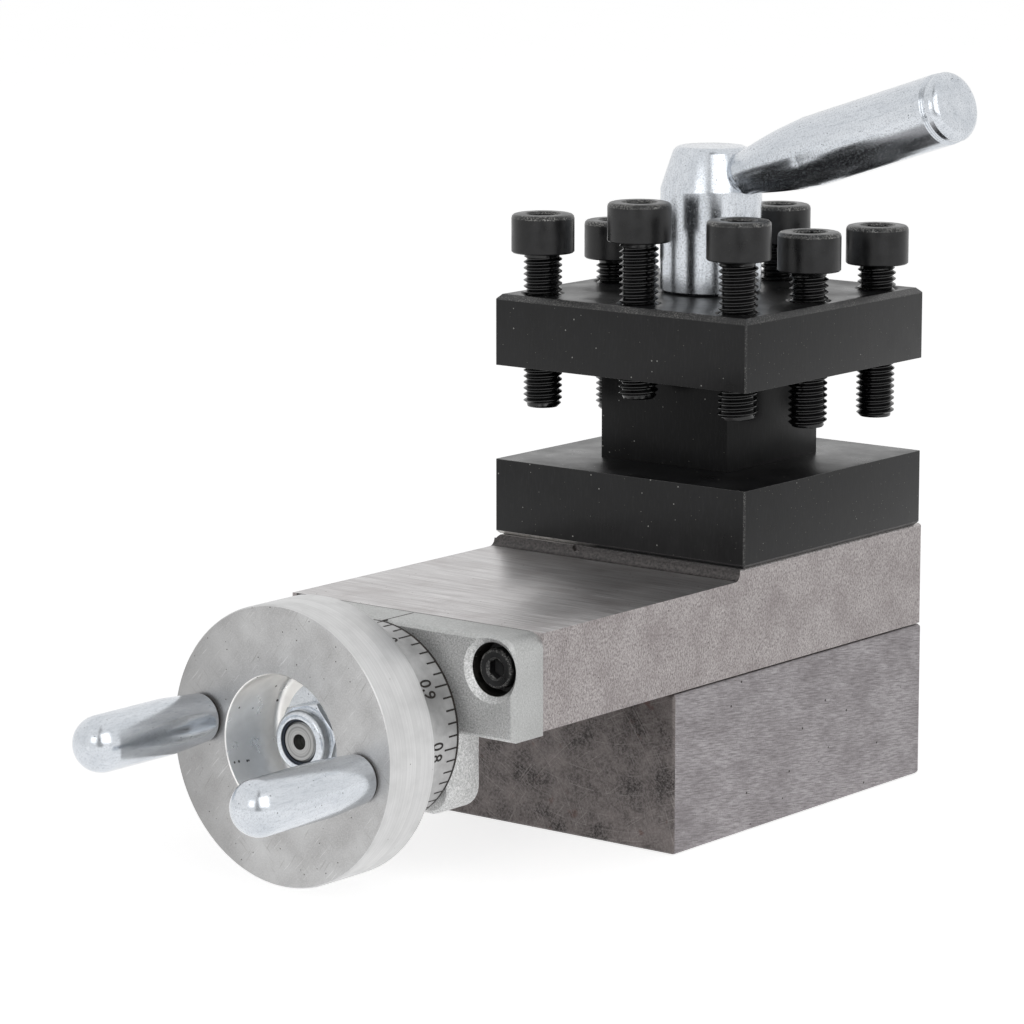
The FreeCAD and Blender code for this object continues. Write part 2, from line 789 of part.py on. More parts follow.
def make_tool_post():
    half = post_half_width
    core = post_core_half_width
    lower = box(-half, half, -half, half, post_bottom_z, slot_bottom_z)
    middle = box(-core, core, -core, core, slot_bottom_z, slot_top_z)
    upper = box(-half, half, -half, half, slot_top_z, post_top_z)
    post = lower.fuse([middle, upper]).removeSplitter()
    post = post.makeChamfer(post_top_chamfer, edges_where(post, lambda p: near(p.z, post_top_z)))
    bottom_rim = edges_where(post, lambda p: near(p.z, post_bottom_z))
    post = post.makeChamfer(post_bottom_chamfer, bottom_rim)
    outer = box(-half, half, -half, half, post_bottom_z, post_top_z)
    upright = edges_where(outer, lambda p: near(abs(p.x), half) and near(abs(p.y), half))
    post = post.common(outer.makeChamfer(post_corner_chamfer, upright))
    post = post.cut(rod_z(stud_radius + running_fit, post_bottom_z, post_top_z))
    hole_radius = tool_screw_radius + running_fit
    for column, row, _ in tool_screw_places:
        x = column * tool_screw_offset
        y = row * tool_screw_offset
        post = post.cut(rod_z(hole_radius, slot_top_z, post_top_z, x, y))
        mouth = Part.makeCone(
            hole_radius,
            hole_radius + post_hole_chamfer,
            post_hole_chamfer,
            Vector(x, y, post_top_z - post_hole_chamfer),
        )
        post = post.cut(mouth)
    return post


def make_tool_screw(place):
    column, row, gap = place
    screw = cap_screw(
        tool_screw_radius,
        tool_screw_length,
        tool_screw_head_radius,
        tool_screw_head_height,
        tool_screw_key,
        tool_screw_key_depth,
        tool_screw_head_edge,
        tool_screw_tip_edge,
    )
    screw.translate(Vector(column * tool_screw_offset, row * tool_screw_offset, post_top_z + gap))
    return screw


def make_clamp_hub():
    top_z = hub_bottom_z + hub_height
    cone_z = hub_bottom_z + hub_cylinder_height
    hub = turned_upright([
        (0, hub_bottom_z),
        (hub_radius - hub_bottom_chamfer, hub_bottom_z),
        (hub_radius, hub_bottom_z + hub_bottom_chamfer),
        (hub_radius, cone_z),
        (hub_top_radius, top_z),
        (0, top_z),
    ])
    hub = hub.makeFillet(hub_top_fillet, edges_where(hub, lambda p: near(p.z, top_z)))
    stud_top_z = post_top_z + stud_above_post
    hub = hub.cut(rod_z(stud_thread_radius + running_fit, hub_bottom_z, stud_top_z + slide_gap))
    return hub.cut(placed_lever(lever_socket()))


def lever_socket():
    return Part.makeCylinder(lever_root_radius, lever_neck_end, Vector(0, 0, lever_root_start))


def placed_lever(shape):
    azimuth = math.radians(lever_direction)
    rise = math.radians(lever_rise)
    direction = Vector(
        math.cos(azimuth) * math.cos(rise),
        math.sin(azimuth) * math.cos(rise),
        math.sin(rise),
    )
    return placed(shape, Vector(0, 0, hub_bottom_z + lever_height), direction)


def make_clamp_lever():
    """Turned about +Z, with its root on the hub's axis, then leaned into place."""
    root_start = Vector(lever_root_radius, 0, lever_root_start)
    root_end = Vector(lever_root_radius, 0, lever_neck_end)
    flare_middle = Vector(
        (lever_root_radius + lever_radius) / 2 + lever_flare_bulge,
        0,
        (lever_neck_end + lever_flare_end) / 2,
    )
    flare_end = Vector(lever_radius, 0, lever_flare_end)
    bar_end = Vector(lever_radius, 0, lever_length)
    axis_start = Vector(0, 0, lever_root_start)
    axis_end = Vector(0, 0, lever_length)
    outline = Part.Wire([
        Part.makeLine(axis_start, root_start),
        Part.makeLine(root_start, root_end),
        Part.Arc(root_end, flare_middle, flare_end).toShape(),
        Part.makeLine(flare_end, bar_end),
        Part.makeLine(bar_end, axis_end),
        Part.makeLine(axis_end, axis_start),
    ])
    lever = Part.Face(outline).revolve(Vector(0, 0, 0), Vector(0, 0, 1), 360)
    end_rim = edges_where(lever, lambda p: near(p.z, lever_length))
    lever = lever.makeFillet(lever_end_fillet, end_rim)
    return placed_lever(lever)


def save(name, shape):
    assert shape.isValid(), name
    solids = shape.Solids
    assert len(solids) == 1, name
    solids[0].exportStep(f"parts/{name}.step")
    print(f"{name:20s} {solids[0].Volume:10.1f} mm3")


def main():
    os.makedirs("parts", exist_ok=True)
    save("base_block", make_base_block())
    save("feed_nut", make_feed_nut())
    save("nut_screw", make_nut_screw())
    save("slide_block", make_slide_block())
    save("gib_strip", make_gib_strip())
    for number, y in enumerate(gib_screw_ys(), 1):
        save(f"gib_screw_{number}", make_gib_screw(y))
        save(f"gib_locknut_{number}", make_gib_locknut(y))
    save("end_bracket", make_end_bracket())
    save("bracket_screw_left", make_bracket_screw(-1))
    save("bracket_screw_right", make_bracket_screw(1))
    save("bracket_bush", make_bracket_bush())
    save("feed_screw", make_feed_screw())
    save("wheel_key", make_wheel_key())
    save("handwheel", make_handwheel())
    save("dial_spring", make_dial_spring())
    save("dial_ring", make_dial_ring())
    save("wheel_washer", make_wheel_washer())
    save("wheel_nut", make_wheel_nut())
    save("nut_insert", make_nut_insert())
    for side, place in zip(("left", "right"), handle_places()):
        save(f"handle_{side}", make_handle(place))
    save("post_stud", make_post_stud())
    save("tool_post", make_tool_post())
    for number, place in enumerate(tool_screw_places, 1):
        save(f"tool_screw_{number}", make_tool_screw(place))
    save("clamp_hub", make_clamp_hub())
    save("clamp_lever", make_clamp_lever())


main()
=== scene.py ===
import math

import bmesh
import bpy
from mathutils import Matrix, Vector


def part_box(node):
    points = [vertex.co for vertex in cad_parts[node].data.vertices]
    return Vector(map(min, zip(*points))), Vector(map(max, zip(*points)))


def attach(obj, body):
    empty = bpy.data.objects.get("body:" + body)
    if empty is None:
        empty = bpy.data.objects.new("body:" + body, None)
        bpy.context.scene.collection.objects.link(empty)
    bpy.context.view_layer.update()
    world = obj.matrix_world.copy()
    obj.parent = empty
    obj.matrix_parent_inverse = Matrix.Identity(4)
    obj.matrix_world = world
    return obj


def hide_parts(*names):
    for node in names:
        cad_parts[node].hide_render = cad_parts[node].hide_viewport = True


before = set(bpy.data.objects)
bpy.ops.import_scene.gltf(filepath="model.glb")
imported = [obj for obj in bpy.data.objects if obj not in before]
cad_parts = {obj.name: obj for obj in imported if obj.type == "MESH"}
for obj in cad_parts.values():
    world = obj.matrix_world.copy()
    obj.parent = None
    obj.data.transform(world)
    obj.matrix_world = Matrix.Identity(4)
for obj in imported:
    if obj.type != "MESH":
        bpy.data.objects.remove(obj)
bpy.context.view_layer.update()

# A small lathe's compound slide with a four-way tool post.
# Pieces are built in millimetres in the frame of the CAD and scaled to metres last.

MM = 0.001
CIRCLE = 2 * math.pi


def reach(node):
    """Lowest and highest corner of a CAD node, in millimetres."""
    low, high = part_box(node)
    return low / MM, high / MM


# Places read from the CAD, in millimetres
wheel_low, wheel_high = reach("handwheel")
dial_low, dial_high = reach("dial_ring")
post_low, post_high = reach("tool_post")
hub_low = reach("clamp_hub")[0]
bracket_low, bracket_high = reach("end_bracket")
SCREW_AXIS_Z = (wheel_low.z + wheel_high.z) / 2
WHEEL_RADIUS = (wheel_high.x - wheel_low.x) / 2
WHEEL_FRONT_Y = wheel_low.y
WHEEL_BACK_Y = wheel_high.y
DIAL_RADIUS = (dial_high.x - dial_low.x) / 2
POST_FOOT_Z = post_low.z
POST_TOP_Z = post_high.z
DECK_Z = bracket_high.z

# Sizes, angles and counts that a box doesn't give; lengths are in millimetres
DISC_THICKNESS = 12.85
RECESS_RADIUS = 13.75
RECESS_DEPTH = 14.7
HUB_CYLINDER = 21.3
LEVER_ROOT_Z = hub_low.z + 22.1
LEVER_DIRECTION = math.radians(-6.2)
LEVER_RISE = math.radians(17.5)
HEAD_RADIUS = 6.5
HEAD_HEIGHT = 8.0
COUNTERBORE_RADIUS = 5.2
CAP_HEAD_RADIUS = 3.9
CAP_HEAD_HEIGHT = 4.0
CAP_SHANK = 14.0
NEAR_SIDE = 25.0
POST_SIDE = 29.0
SLIDE_FOOT_Z = 34.0
CHANNEL_TOP_Z = 42.0
DECK_END_Y = 30.0
BORE_MOUTH = 1.5
DOVETAIL_REACH = 27.0
LAND_FOOT_FRONT = -34.5
LAND_FOOT_BACK = -31.0
LAND_NOTCH = Vector((-9.7, 54.0))
LAND_NOTCH_REACH = 1.35
LONG_TICK = 4.0
SHORT_TICK = 2.9
TICK_WIDTH = 0.36
TICK_DEPTH = 0.04
TICK_SETBACK = 0.25
FIGURE_SETBACK = 6.5
FIGURE_HEIGHT = 3.1
FIGURE_NARROWING = 0.76
FIGURE_WEIGHT = 0.06
DIVISIONS = 50
ZERO_ANGLE = math.radians(25)
HEAD_STEPS = 64
THREAD_STEPS = 28


# Materials


def linear(code):
    """An sRGB hex colour as linear RGBA."""
    channels = [int(code[i:i + 2], 16) / 255 for i in (1, 3, 5)]
    return [c / 12.92 if c <= 0.04045 else ((c + 0.055) / 1.055) ** 2.4 for c in channels] + [1.0]


def add(tree, kind, settings=None, **inputs):
    """A node with its settings, whose inputs, named or numbered as i0, are values or other nodes' sockets."""
    made = tree.nodes.new(kind)
    for name, value in (settings or {}).items():
        setattr(made, name, value)
    for key, value in inputs.items():
        numbered = key[0] == "i" and key[1:].isdigit()
        socket = made.inputs[int(key[1:]) if numbered else key.replace("_", " ")]
        if isinstance(value, bpy.types.NodeSocket):
            tree.links.new(value, socket)
        else:
            socket.default_value = value
    return made


def new_finish(name, **constants):
    """An empty material with its shader, whose constants are set on the shader's own sockets."""
    finish = bpy.data.materials.new(name)
    finish.use_nodes = True
    tree = finish.node_tree
    tree.nodes.clear()
    shader = add(tree, "ShaderNodeBsdfPrincipled", **constants)
    out = add(tree, "ShaderNodeOutputMaterial")
    tree.links.new(shader.outputs[0], out.inputs[0])
    place = add(tree, "ShaderNodeTexCoord").outputs["Object"]
    return finish, tree, shader, place


def noise(tree, place, period, detail, stretch=(1, 1, 1), turn=(0, 0, 0), roughness=0.5):
    """Noise whose features are period millimetres wide, longer along an axis where stretch is over 1."""
    spot = add(tree, "ShaderNodeMapping", {"vector_type": "TEXTURE"}, Vector=place, Rotation=turn,
               Scale=[period * MM * longer for longer in stretch])
    made = add(tree, "ShaderNodeTexNoise", Vector=spot.outputs[0], Scale=1.0, Detail=detail,
               Roughness=roughness)
    return made.outputs[0]


def ramp(tree, value, low, high, from_value, to_value):
    """The value between low and high, stretched to from_value and to_value and held there outside."""
    made = add(tree, "ShaderNodeMapRange", Value=value, From_Min=low, From_Max=high,
               To_Min=from_value, To_Max=to_value)
    return made.outputs[0]


def blend(tree, factor, a, b):
    """Colour a turned into colour b by the factor."""
    mix = add(tree, "ShaderNodeMix", {"data_type": "RGBA"}, i0=factor, i6=a, i7=b)
    return mix.outputs[2]


def bump(tree, height, depth, under=None):
    """A relief of depth millimetres, laid on the one under it."""
    made = add(tree, "ShaderNodeBump", Height=height, Distance=depth * MM, Strength=1.0)
    if under is not None:
        tree.links.new(under, made.inputs["Normal"])
    return made.outputs[0]


def link(tree, shader, **sockets):
    for name, source in sockets.items():
        tree.links.new(source, shader.inputs[name.replace("_", " ")])


def specks(tree, place, cell, size, share):
    """Round specks of size millimetres, about one in each cell of the given size, on a share of the cells."""
    spots = add(tree, "ShaderNodeTexVoronoi", {"feature": "F1"}, Vector=place, Scale=1 / (cell * MM))
    near = ramp(tree, spots.outputs["Distance"], size / cell * 0.4, size / cell * 0.6, 1.0, 0.0)
    chosen = add(tree, "ShaderNodeSeparateColor", Color=spots.outputs["Color"]).outputs[0]
    return joined(tree, "MULTIPLY", near, joined(tree, "GREATER_THAN", chosen, 1 - share))


def joined(tree, operation, a, b):
    """Two values joined by a sum, product or comparison."""
    return add(tree, "ShaderNodeMath", {"operation": operation}, i0=a, i1=b).outputs[0]


def vector(tree, operation, a, b):
    """Two places or directions joined, axis by axis."""
    return add(tree, "ShaderNodeVectorMath", {"operation": operation}, i0=a, i1=b).outputs[0]


def band(tree, place, axis, start, end):
    """0 before start and 1 after end, in millimetres along one axis."""
    along = add(tree, "ShaderNodeSeparateXYZ", Vector=place).outputs[axis]
    return ramp(tree, along, start * MM, end * MM, 0, 1)


def around(tree, place):
    """Distance from the feed screw's axis and place along it, so that turning marks go round the wheel."""
    split = add(tree, "ShaderNodeSeparateXYZ", Vector=place)
    height = joined(tree, "SUBTRACT", split.outputs[2], SCREW_AXIS_Z * MM)
    across = add(tree, "ShaderNodeCombineXYZ", X=split.outputs[0], Y=height, Z=0.0)
    away = add(tree, "ShaderNodeVectorMath", {"operation": "LENGTH"}, i0=across.outputs[0]).outputs["Value"]
    return add(tree, "ShaderNodeCombineXYZ", X=away, Y=split.outputs[1], Z=0.0).outputs[0]


def black_oxide_post(name, dark, pale, specular):
    """Black oxide on ground steel: satin black, cloudy where oil has dried, with pale specks of dust."""
    finish, tree, shader, place = new_finish(name, Specular_IOR_Level=specular)
    cloud = noise(tree, place, 8, 4, roughness=0.6)
    grain = noise(tree, place, 0.35, 3, stretch=(1, 1, 6))
    colour = blend(tree, ramp(tree, cloud, 0.35, 0.7, 0, 1), linear(dark), linear(pale))
    colour = blend(tree, ramp(tree, grain, 0.5, 0.75, 0, 0.35), colour, linear("#2c2c2d"))
    colour = blend(tree, specks(tree, place, 2.2, 0.3, 0.55), colour, linear("#a8a8a4"))
    colour = blend(tree, specks(tree, place, 1.1, 0.16, 0.35), colour, linear("#77776f"))
    link(tree, shader, Base_Color=colour)
    link(tree, shader, Roughness=ramp(tree, cloud, 0.3, 0.7, 0.26, 0.4))
    link(tree, shader, Normal=bump(tree, grain, 0.005))
    return finish


def rubbed_oxide_edge():
    """Black oxide thinned along ground edges: dark grey, speckled with bare steel."""
    finish, tree, shader, place = new_finish("rubbed_black_oxide_edge", Specular_IOR_Level=0.4)
    fine = noise(tree, place, 0.28, 3, roughness=0.75)
    cloud = noise(tree, place, 5, 3)
    patch = ramp(tree, cloud, 0.3, 0.65, 0.15, 0.8)
    bare = joined(tree, "MULTIPLY", ramp(tree, fine, 0.5, 0.66, 0, 1), patch)
    colour = blend(tree, bare, linear("#262627"), linear("#9a9996"))
    link(tree, shader, Base_Color=colour)
    link(tree, shader, Metallic=joined(tree, "MULTIPLY", bare, 0.5))
    link(tree, shader, Roughness=ramp(tree, fine, 0.3, 0.7, 0.34, 0.5))
    link(tree, shader, Normal=bump(tree, fine, 0.01))
    return finish


def pale_left_chamfer():
    """The lower front chamfer: pale grey in noisy patches on its left part, fading out from x -18 mm to x -5
    mm.
    """
    finish, tree, shader, place = new_finish("pale_left_lower_edge", Specular_IOR_Level=0.4)
    fine = noise(tree, place, 0.6, 3, roughness=0.7)
    left = joined(tree, "SUBTRACT", 1.0, band(tree, place, 0, -18, -5))
    bare = joined(tree, "MULTIPLY", ramp(tree, fine, 0.3, 0.45, 0, 1), left)
    colour = blend(tree, bare, linear("#242425"), linear("#c9c7c3"))
    link(tree, shader, Base_Color=colour)
    link(tree, shader, Metallic=joined(tree, "MULTIPLY", bare, 0.6))
    link(tree, shader, Roughness=ramp(tree, fine, 0.3, 0.7, 0.3, 0.45))
    return finish


def black_oxide_screw(name, dark, pale, specular, low, high, period):
    """Black oxide on hardened screw steel, from the satin of the heads to the oily gloss of the threads."""
    finish, tree, shader, place = new_finish(name, Specular_IOR_Level=specular)
    cloud = noise(tree, place, period, 3)
    fine = noise(tree, place, 0.3, 3, roughness=0.7)
    colour = blend(tree, ramp(tree, cloud, 0.35, 0.7, 0, 1), linear(dark), linear(pale))
    colour = blend(tree, ramp(tree, fine, 0.66, 0.74, 0, 0.5), colour, linear("#6b6a68"))
    link(tree, shader, Base_Color=colour)
    link(tree, shader, Roughness=ramp(tree, cloud, 0.3, 0.7, low, high))
    link(tree, shader, Normal=bump(tree, fine, 0.008))
    return finish


def rubbed_head_rim():
    """The rounded rim of a screw head, where keys and fingers have rubbed the black to a grey speckle."""
    finish, tree, shader, place = new_finish("rubbed_screw_rim", Specular_IOR_Level=0.5)
    fine = noise(tree, place, 0.35, 3, roughness=0.75)
    cloud = noise(tree, place, 2.5, 3)
    patch = ramp(tree, cloud, 0.35, 0.6, 0.15, 0.9)
    bare = joined(tree, "MULTIPLY", ramp(tree, fine, 0.48, 0.62, 0, 1), patch)
    link(tree, shader, Base_Color=blend(tree, bare, linear("#171718"), linear("#a3a29f")))
    link(tree, shader, Metallic=joined(tree, "MULTIPLY", bare, 0.5))
    link(tree, shader, Roughness=ramp(tree, fine, 0.3, 0.7, 0.26, 0.42))
    link(tree, shader, Normal=bump(tree, fine, 0.008))
    return finish


def bright_zinc(name, relief, pitted, stretch, turn=(0, 0, 0)):
    """Bright zinc plate on turned steel: a cool half mirror with streaks along the piece and matt pits."""
    finish, tree, shader, place = new_finish(name)
    cloud = noise(tree, place, 3.5, 4, stretch=stretch, turn=turn, roughness=0.65)
    streak = noise(tree, place, 0.5, 3, stretch=stretch, turn=turn, roughness=0.7)
    mottle = noise(tree, place, 0.35, 3, roughness=0.75)
    colour = blend(tree, ramp(tree, cloud, 0.35, 0.68, 0, 1), linear("#d9dde2"), linear("#c8cdd3"))
    colour = blend(tree, ramp(tree, streak, 0.5, 0.75, 0, 0.5), colour, linear("#a5abb3"))
    matt = ramp(tree, mottle, 0.5, 0.68, 0, pitted)
    colour = blend(tree, matt, colour, linear("#a9aeb5"))
    colour = blend(tree, specks(tree, place, 1.4, 0.25, 0.4), colour, linear("#565a61"))
    link(tree, shader, Base_Color=colour)
    link(tree, shader, Metallic=joined(tree, "SUBTRACT", 1.0, matt))
    link(tree, shader, Roughness=ramp(tree, mottle, 0.3, 0.7, 0.15, 0.26))
    link(tree, shader, Normal=bump(tree, mottle, relief, bump(tree, streak, 0.006)))
    return finish


def turned_aluminium_rim():
    """Fine-turned aluminium: near white, with close faint tool lines round the wheel."""
    finish, tree, shader, place = new_finish("turned_aluminium", Metallic=0.9)
    lines = noise(tree, around(tree, place), 0.3, 3, roughness=0.6)
    cloud = noise(tree, place, 4, 4)
    colour = blend(tree, ramp(tree, lines, 0.3, 0.7, 0, 1), linear("#cccccc"), linear("#dcdcdc"))
    colour = blend(tree, ramp(tree, cloud, 0.45, 0.75, 0, 0.4), colour, linear("#bcbcbc"))
    colour = blend(tree, specks(tree, place, 2.5, 0.25, 0.25), colour, linear("#8f8d8a"))
    link(tree, shader, Base_Color=colour)
    link(tree, shader, Roughness=ramp(tree, cloud, 0.3, 0.7, 0.32, 0.42))
    link(tree, shader, Normal=bump(tree, lines, 0.005))
    return finish


def faced_aluminium_with_painted_shade():
    """Aluminium faced in a lathe: its rings fan the shine outward, under scratches and pits; its grey, darker
    than the rim's, is partly its own finish and partly painted shade on the front face, and a painted shade
    darkens its left part.
    """
    finish, tree, shader, place = new_finish("faced_aluminium_with_painted_shade", Metallic=0.88, Anisotropic=0.6)
    outward = vector(tree, "SUBTRACT", place, (0, 0, SCREW_AXIS_Z * MM))
    rings = noise(tree, around(tree, place), 0.35, 3, roughness=0.6)
    cloud = noise(tree, place, 7, 5, roughness=0.6)
    grain = noise(tree, place, 0.3, 3, roughness=0.75)
    colour = blend(tree, ramp(tree, cloud, 0.32, 0.68, 0, 1), linear("#c2c2c2"), linear("#acabab"))
    colour = blend(tree, ramp(tree, grain, 0.42, 0.62, 0, 0.4), colour, linear("#d6d6d5"))
    # Painted shade: the face is blended half way to a darker grey on its left, from x -6 mm out to x -24 mm.
    painted_left_shade = joined(tree, "SUBTRACT", 1.0, band(tree, place, 0, -24, -6))
    colour = blend(tree, joined(tree, "MULTIPLY", painted_left_shade, 0.5), colour, linear("#858484"))
    for lean, tone in ((0.6, "#85827f"), (-0.8, "#908d8b"), (0.75, "#e6e6e6")):
        scratch = noise(tree, place, 0.3, 2, stretch=(1, 1, 22), turn=(0, lean, 0))
        colour = blend(tree, ramp(tree, scratch, 0.64, 0.72, 0, 0.45), colour, linear(tone))
    colour = blend(tree, specks(tree, place, 1.6, 0.26, 0.5), colour, linear("#4a4541"))
    link(tree, shader, Base_Color=colour)
    link(tree, shader, Roughness=ramp(tree, cloud, 0.3, 0.7, 0.34, 0.46))
    link(tree, shader, Normal=bump(tree, rings, 0.008, bump(tree, grain, 0.004)))
    link(tree, shader, Tangent=outward)
    return finish


def bored_aluminium():
    """The bored recess of the wheel: pale, with oil spots thrown from the nut."""
    finish, tree, shader, place = new_finish("bored_aluminium", Metallic=0.9)
    lines = noise(tree, around(tree, place), 0.4, 3)
    cloud = noise(tree, place, 3, 4)
    colour = blend(tree, ramp(tree, cloud, 0.35, 0.7, 0, 1), linear("#fcfbf9"), linear("#f2f1ef"))
    colour = blend(tree, specks(tree, place, 1.8, 0.5, 0.2), colour, linear("#4a4642"))
    link(tree, shader, Base_Color=colour)
    link(tree, shader, Roughness=ramp(tree, cloud, 0.3, 0.7, 0.26, 0.38))
    link(tree, shader, Normal=bump(tree, lines, 0.006))
    return finish


def satin_aluminium_dial():
    """Satin aluminium: matt grey, with faint turning lines under the engraved divisions."""
    finish, tree, shader, place = new_finish("satin_aluminium", Metallic=0.9)
    lines = noise(tree, around(tree, place), 0.3, 3)
    cloud = noise(tree, place, 2.5, 4, roughness=0.65)
    colour = blend(tree, ramp(tree, cloud, 0.35, 0.7, 0, 1), linear("#b2b2b2"), linear("#c9c9c9"))
    link(tree, shader, Base_Color=colour)
    link(tree, shader, Roughness=ramp(tree, cloud, 0.3, 0.7, 0.42, 0.52))
    link(tree, shader, Normal=bump(tree, lines, 0.006))
    return finish


def blasted_aluminium(name, pale, dark, relief):
    """Bead-blasted aluminium casting: matt silver grey, with an even grain of a third of a millimetre."""
    finish, tree, shader, place = new_finish(name, Metallic=0.75)
    grain = noise(tree, place, 0.36, 3, roughness=0.7)
    cloud = noise(tree, place, 6, 4)
    colour = blend(tree, ramp(tree, grain, 0.35, 0.65, 0, 1), linear(dark), linear(pale))
    colour = blend(tree, ramp(tree, cloud, 0.45, 0.75, 0, 0.3), colour, linear("#b4b5b4"))
    colour = blend(tree, specks(tree, place, 2.4, 0.3, 0.15), colour, linear("#6c6c6b"))
    link(tree, shader, Base_Color=colour)
    link(tree, shader, Roughness=ramp(tree, cloud, 0.3, 0.7, 0.48, 0.58))
    link(tree, shader, Normal=bump(tree, grain, relief))
    return finish


def dark_bore_wall():
    """The wall of a counterbore, near black, with bright scratches from the screw's head."""
    finish, tree, shader, place = new_finish("dark_counterbore_wall", Specular_IOR_Level=0.6)
    cloud = noise(tree, place, 1.2, 4, roughness=0.7)
    scratch = noise(tree, place, 0.35, 3, stretch=(1, 6, 1))
    colour = blend(tree, ramp(tree, cloud, 0.4, 0.7, 0, 1), linear("#151413"), linear("#35322f"))
    colour = blend(tree, ramp(tree, scratch, 0.66, 0.74, 0, 0.8), colour, linear("#9b9894"))
    link(tree, shader, Base_Color=colour)
    link(tree, shader, Roughness=ramp(tree, cloud, 0.3, 0.7, 0.25, 0.4))
    return finish


def ground_iron_deck():
    """Surface-ground cast iron, thinly oiled: a dull mirror, streaked across, that blurs along the slide."""
    finish, tree, shader, place = new_finish("surface_ground_iron_deck", Metallic=0.92, Anisotropic=0.5)
    streak = noise(tree, place, 0.26, 4, stretch=(50, 1, 1), roughness=0.7)
    broad = noise(tree, place, 2.0, 3, stretch=(16, 1, 1))
    cloud = noise(tree, place, 10, 4)
    colour = blend(tree, ramp(tree, streak, 0.36, 0.64, 0, 1), linear("#a6a3a3"), linear("#dedcdc"))
    colour = blend(tree, ramp(tree, broad, 0.45, 0.75, 0, 0.45), colour, linear("#a19b9b"))
    colour = blend(tree, ramp(tree, cloud, 0.5, 0.75, 0, 0.4), colour, linear("#8f8684"))
    colour = blend(tree, specks(tree, place, 2.0, 0.3, 0.45), colour, linear("#544842"))
    link(tree, shader, Base_Color=colour)
    link(tree, shader, Roughness=ramp(tree, streak, 0.3, 0.7, 0.29, 0.4))
    link(tree, shader, Normal=bump(tree, streak, 0.003))
    link(tree, shader, Tangent=add(tree, "ShaderNodeCombineXYZ", X=0.0, Y=1.0, Z=0.0).outputs[0])
    return finish


def ground_iron_side():
    """Cast iron ground and left bare: pinkish grey with a fine salt-and-pepper grain and dark pores."""
    finish, tree, shader, place = new_finish("fine_ground_iron_side", Metallic=0.7)
    grain = noise(tree, place, 0.33, 4, stretch=(1, 1, 1.6), roughness=0.8)
    cloud = noise(tree, place, 8, 5, roughness=0.6)
    colour = blend(tree, ramp(tree, grain, 0.36, 0.62, 0, 1), linear("#7c7575"), linear("#c9c3c2"))
    colour = blend(tree, ramp(tree, cloud, 0.42, 0.75, 0, 0.5), colour, linear("#887f7f"))
    colour = blend(tree, specks(tree, place, 1.6, 0.3, 0.4), colour, linear("#4a4141"))
    colour = blend(tree, specks(tree, place, 5.0, 0.7, 0.3), colour, linear("#544a48"))
    link(tree, shader, Base_Color=colour)
    link(tree, shader, Roughness=ramp(tree, cloud, 0.3, 0.7, 0.44, 0.56))
    link(tree, shader, Normal=bump(tree, grain, 0.012))
    return finish


def brushed_iron_side():
    """Cast iron dressed on a belt: grey with long fine streaks a little off level."""
    finish, tree, shader, place = new_finish("belt_dressed_iron_side", Metallic=0.72)
    lean = (math.radians(-7.4), 0, 0)
    streak = noise(tree, place, 0.24, 4, stretch=(1, 12, 1), turn=lean, roughness=0.7)
    grain = noise(tree, place, 0.42, 3, roughness=0.75)
    cloud = noise(tree, place, 8, 4, stretch=(1, 1.8, 1), turn=lean, roughness=0.6)
    colour = blend(tree, ramp(tree, streak, 0.34, 0.66, 0, 1), linear("#827d7f"), linear("#bab6b8"))
    colour = blend(tree, ramp(tree, cloud, 0.42, 0.75, 0, 0.55), colour, linear("#746e70"))
    colour = blend(tree, ramp(tree, grain, 0.5, 0.75, 0, 0.6), colour, linear("#676163"))
    colour = blend(tree, specks(tree, place, 4.0, 0.5, 0.3), colour, linear("#3d3636"))
    link(tree, shader, Base_Color=colour)
    link(tree, shader, Roughness=ramp(tree, cloud, 0.3, 0.7, 0.42, 0.55))
    link(tree, shader, Normal=bump(tree, streak, 0.008))
    return finish


def stained_and_shade_painted_iron_face():
    """Cast iron with old oil on it: dark brown grey, cloudy, with curved sander scratches and some rust; its
    dark tone is partly the oil and partly painted shade from the slide above.
    """
    finish, tree, shader, place = new_finish("oil_stained_iron_face_with_painted_shade", Metallic=0.6)
    cloud = noise(tree, place, 9, 5, roughness=0.65)
    fine = noise(tree, place, 0.42, 3, roughness=0.75)
    colour = blend(tree, ramp(tree, cloud, 0.38, 0.62, 0, 1), linear("#2f2b2a"), linear("#756e6c"))
    colour = blend(tree, ramp(tree, fine, 0.42, 0.62, 0, 0.5), colour, linear("#948d8c"))
    for x, z, span in ((-30, -12, 4), (14, 60, 3), (45, -30, 5)):
        flat = vector(tree, "MULTIPLY", vector(tree, "SUBTRACT", place, (x * MM, 0, z * MM)), (1, 0, 1))
        away = add(tree, "ShaderNodeVectorMath", {"operation": "LENGTH"}, i0=flat).outputs["Value"]
        arcs = noise(tree, add(tree, "ShaderNodeCombineXYZ", X=away, Y=0.0, Z=0.0).outputs[0], 0.3, 2)
        patch = ramp(tree, noise(tree, place, span, 3), 0.46, 0.6, 0, 0.6)
        lines = joined(tree, "MULTIPLY", ramp(tree, arcs, 0.55, 0.7, 0, 1), patch)
        colour = blend(tree, lines, colour, linear("#a8a2a0"))
    rust = noise(tree, place, 4, 4)
    colour = blend(tree, ramp(tree, rust, 0.66, 0.76, 0, 0.55), colour, linear("#5b3428"))
    link(tree, shader, Base_Color=colour)
    link(tree, shader, Roughness=ramp(tree, cloud, 0.3, 0.7, 0.36, 0.52))
    link(tree, shader, Normal=bump(tree, fine, 0.01))
    return finish


def worn_iron_edge():
    """The broken edges of the iron blocks, rubbed brighter than the faces beside them."""
    finish, tree, shader, place = new_finish("bright_iron_edge", Metallic=0.8)
    fine = noise(tree, place, 0.5, 3, roughness=0.7)
    colour = blend(tree, ramp(tree, fine, 0.35, 0.6, 0, 1), linear("#8b8585"), linear("#d0cccb"))
    link(tree, shader, Base_Color=colour)
    link(tree, shader, Roughness=ramp(tree, fine, 0.3, 0.7, 0.34, 0.46))
    return finish


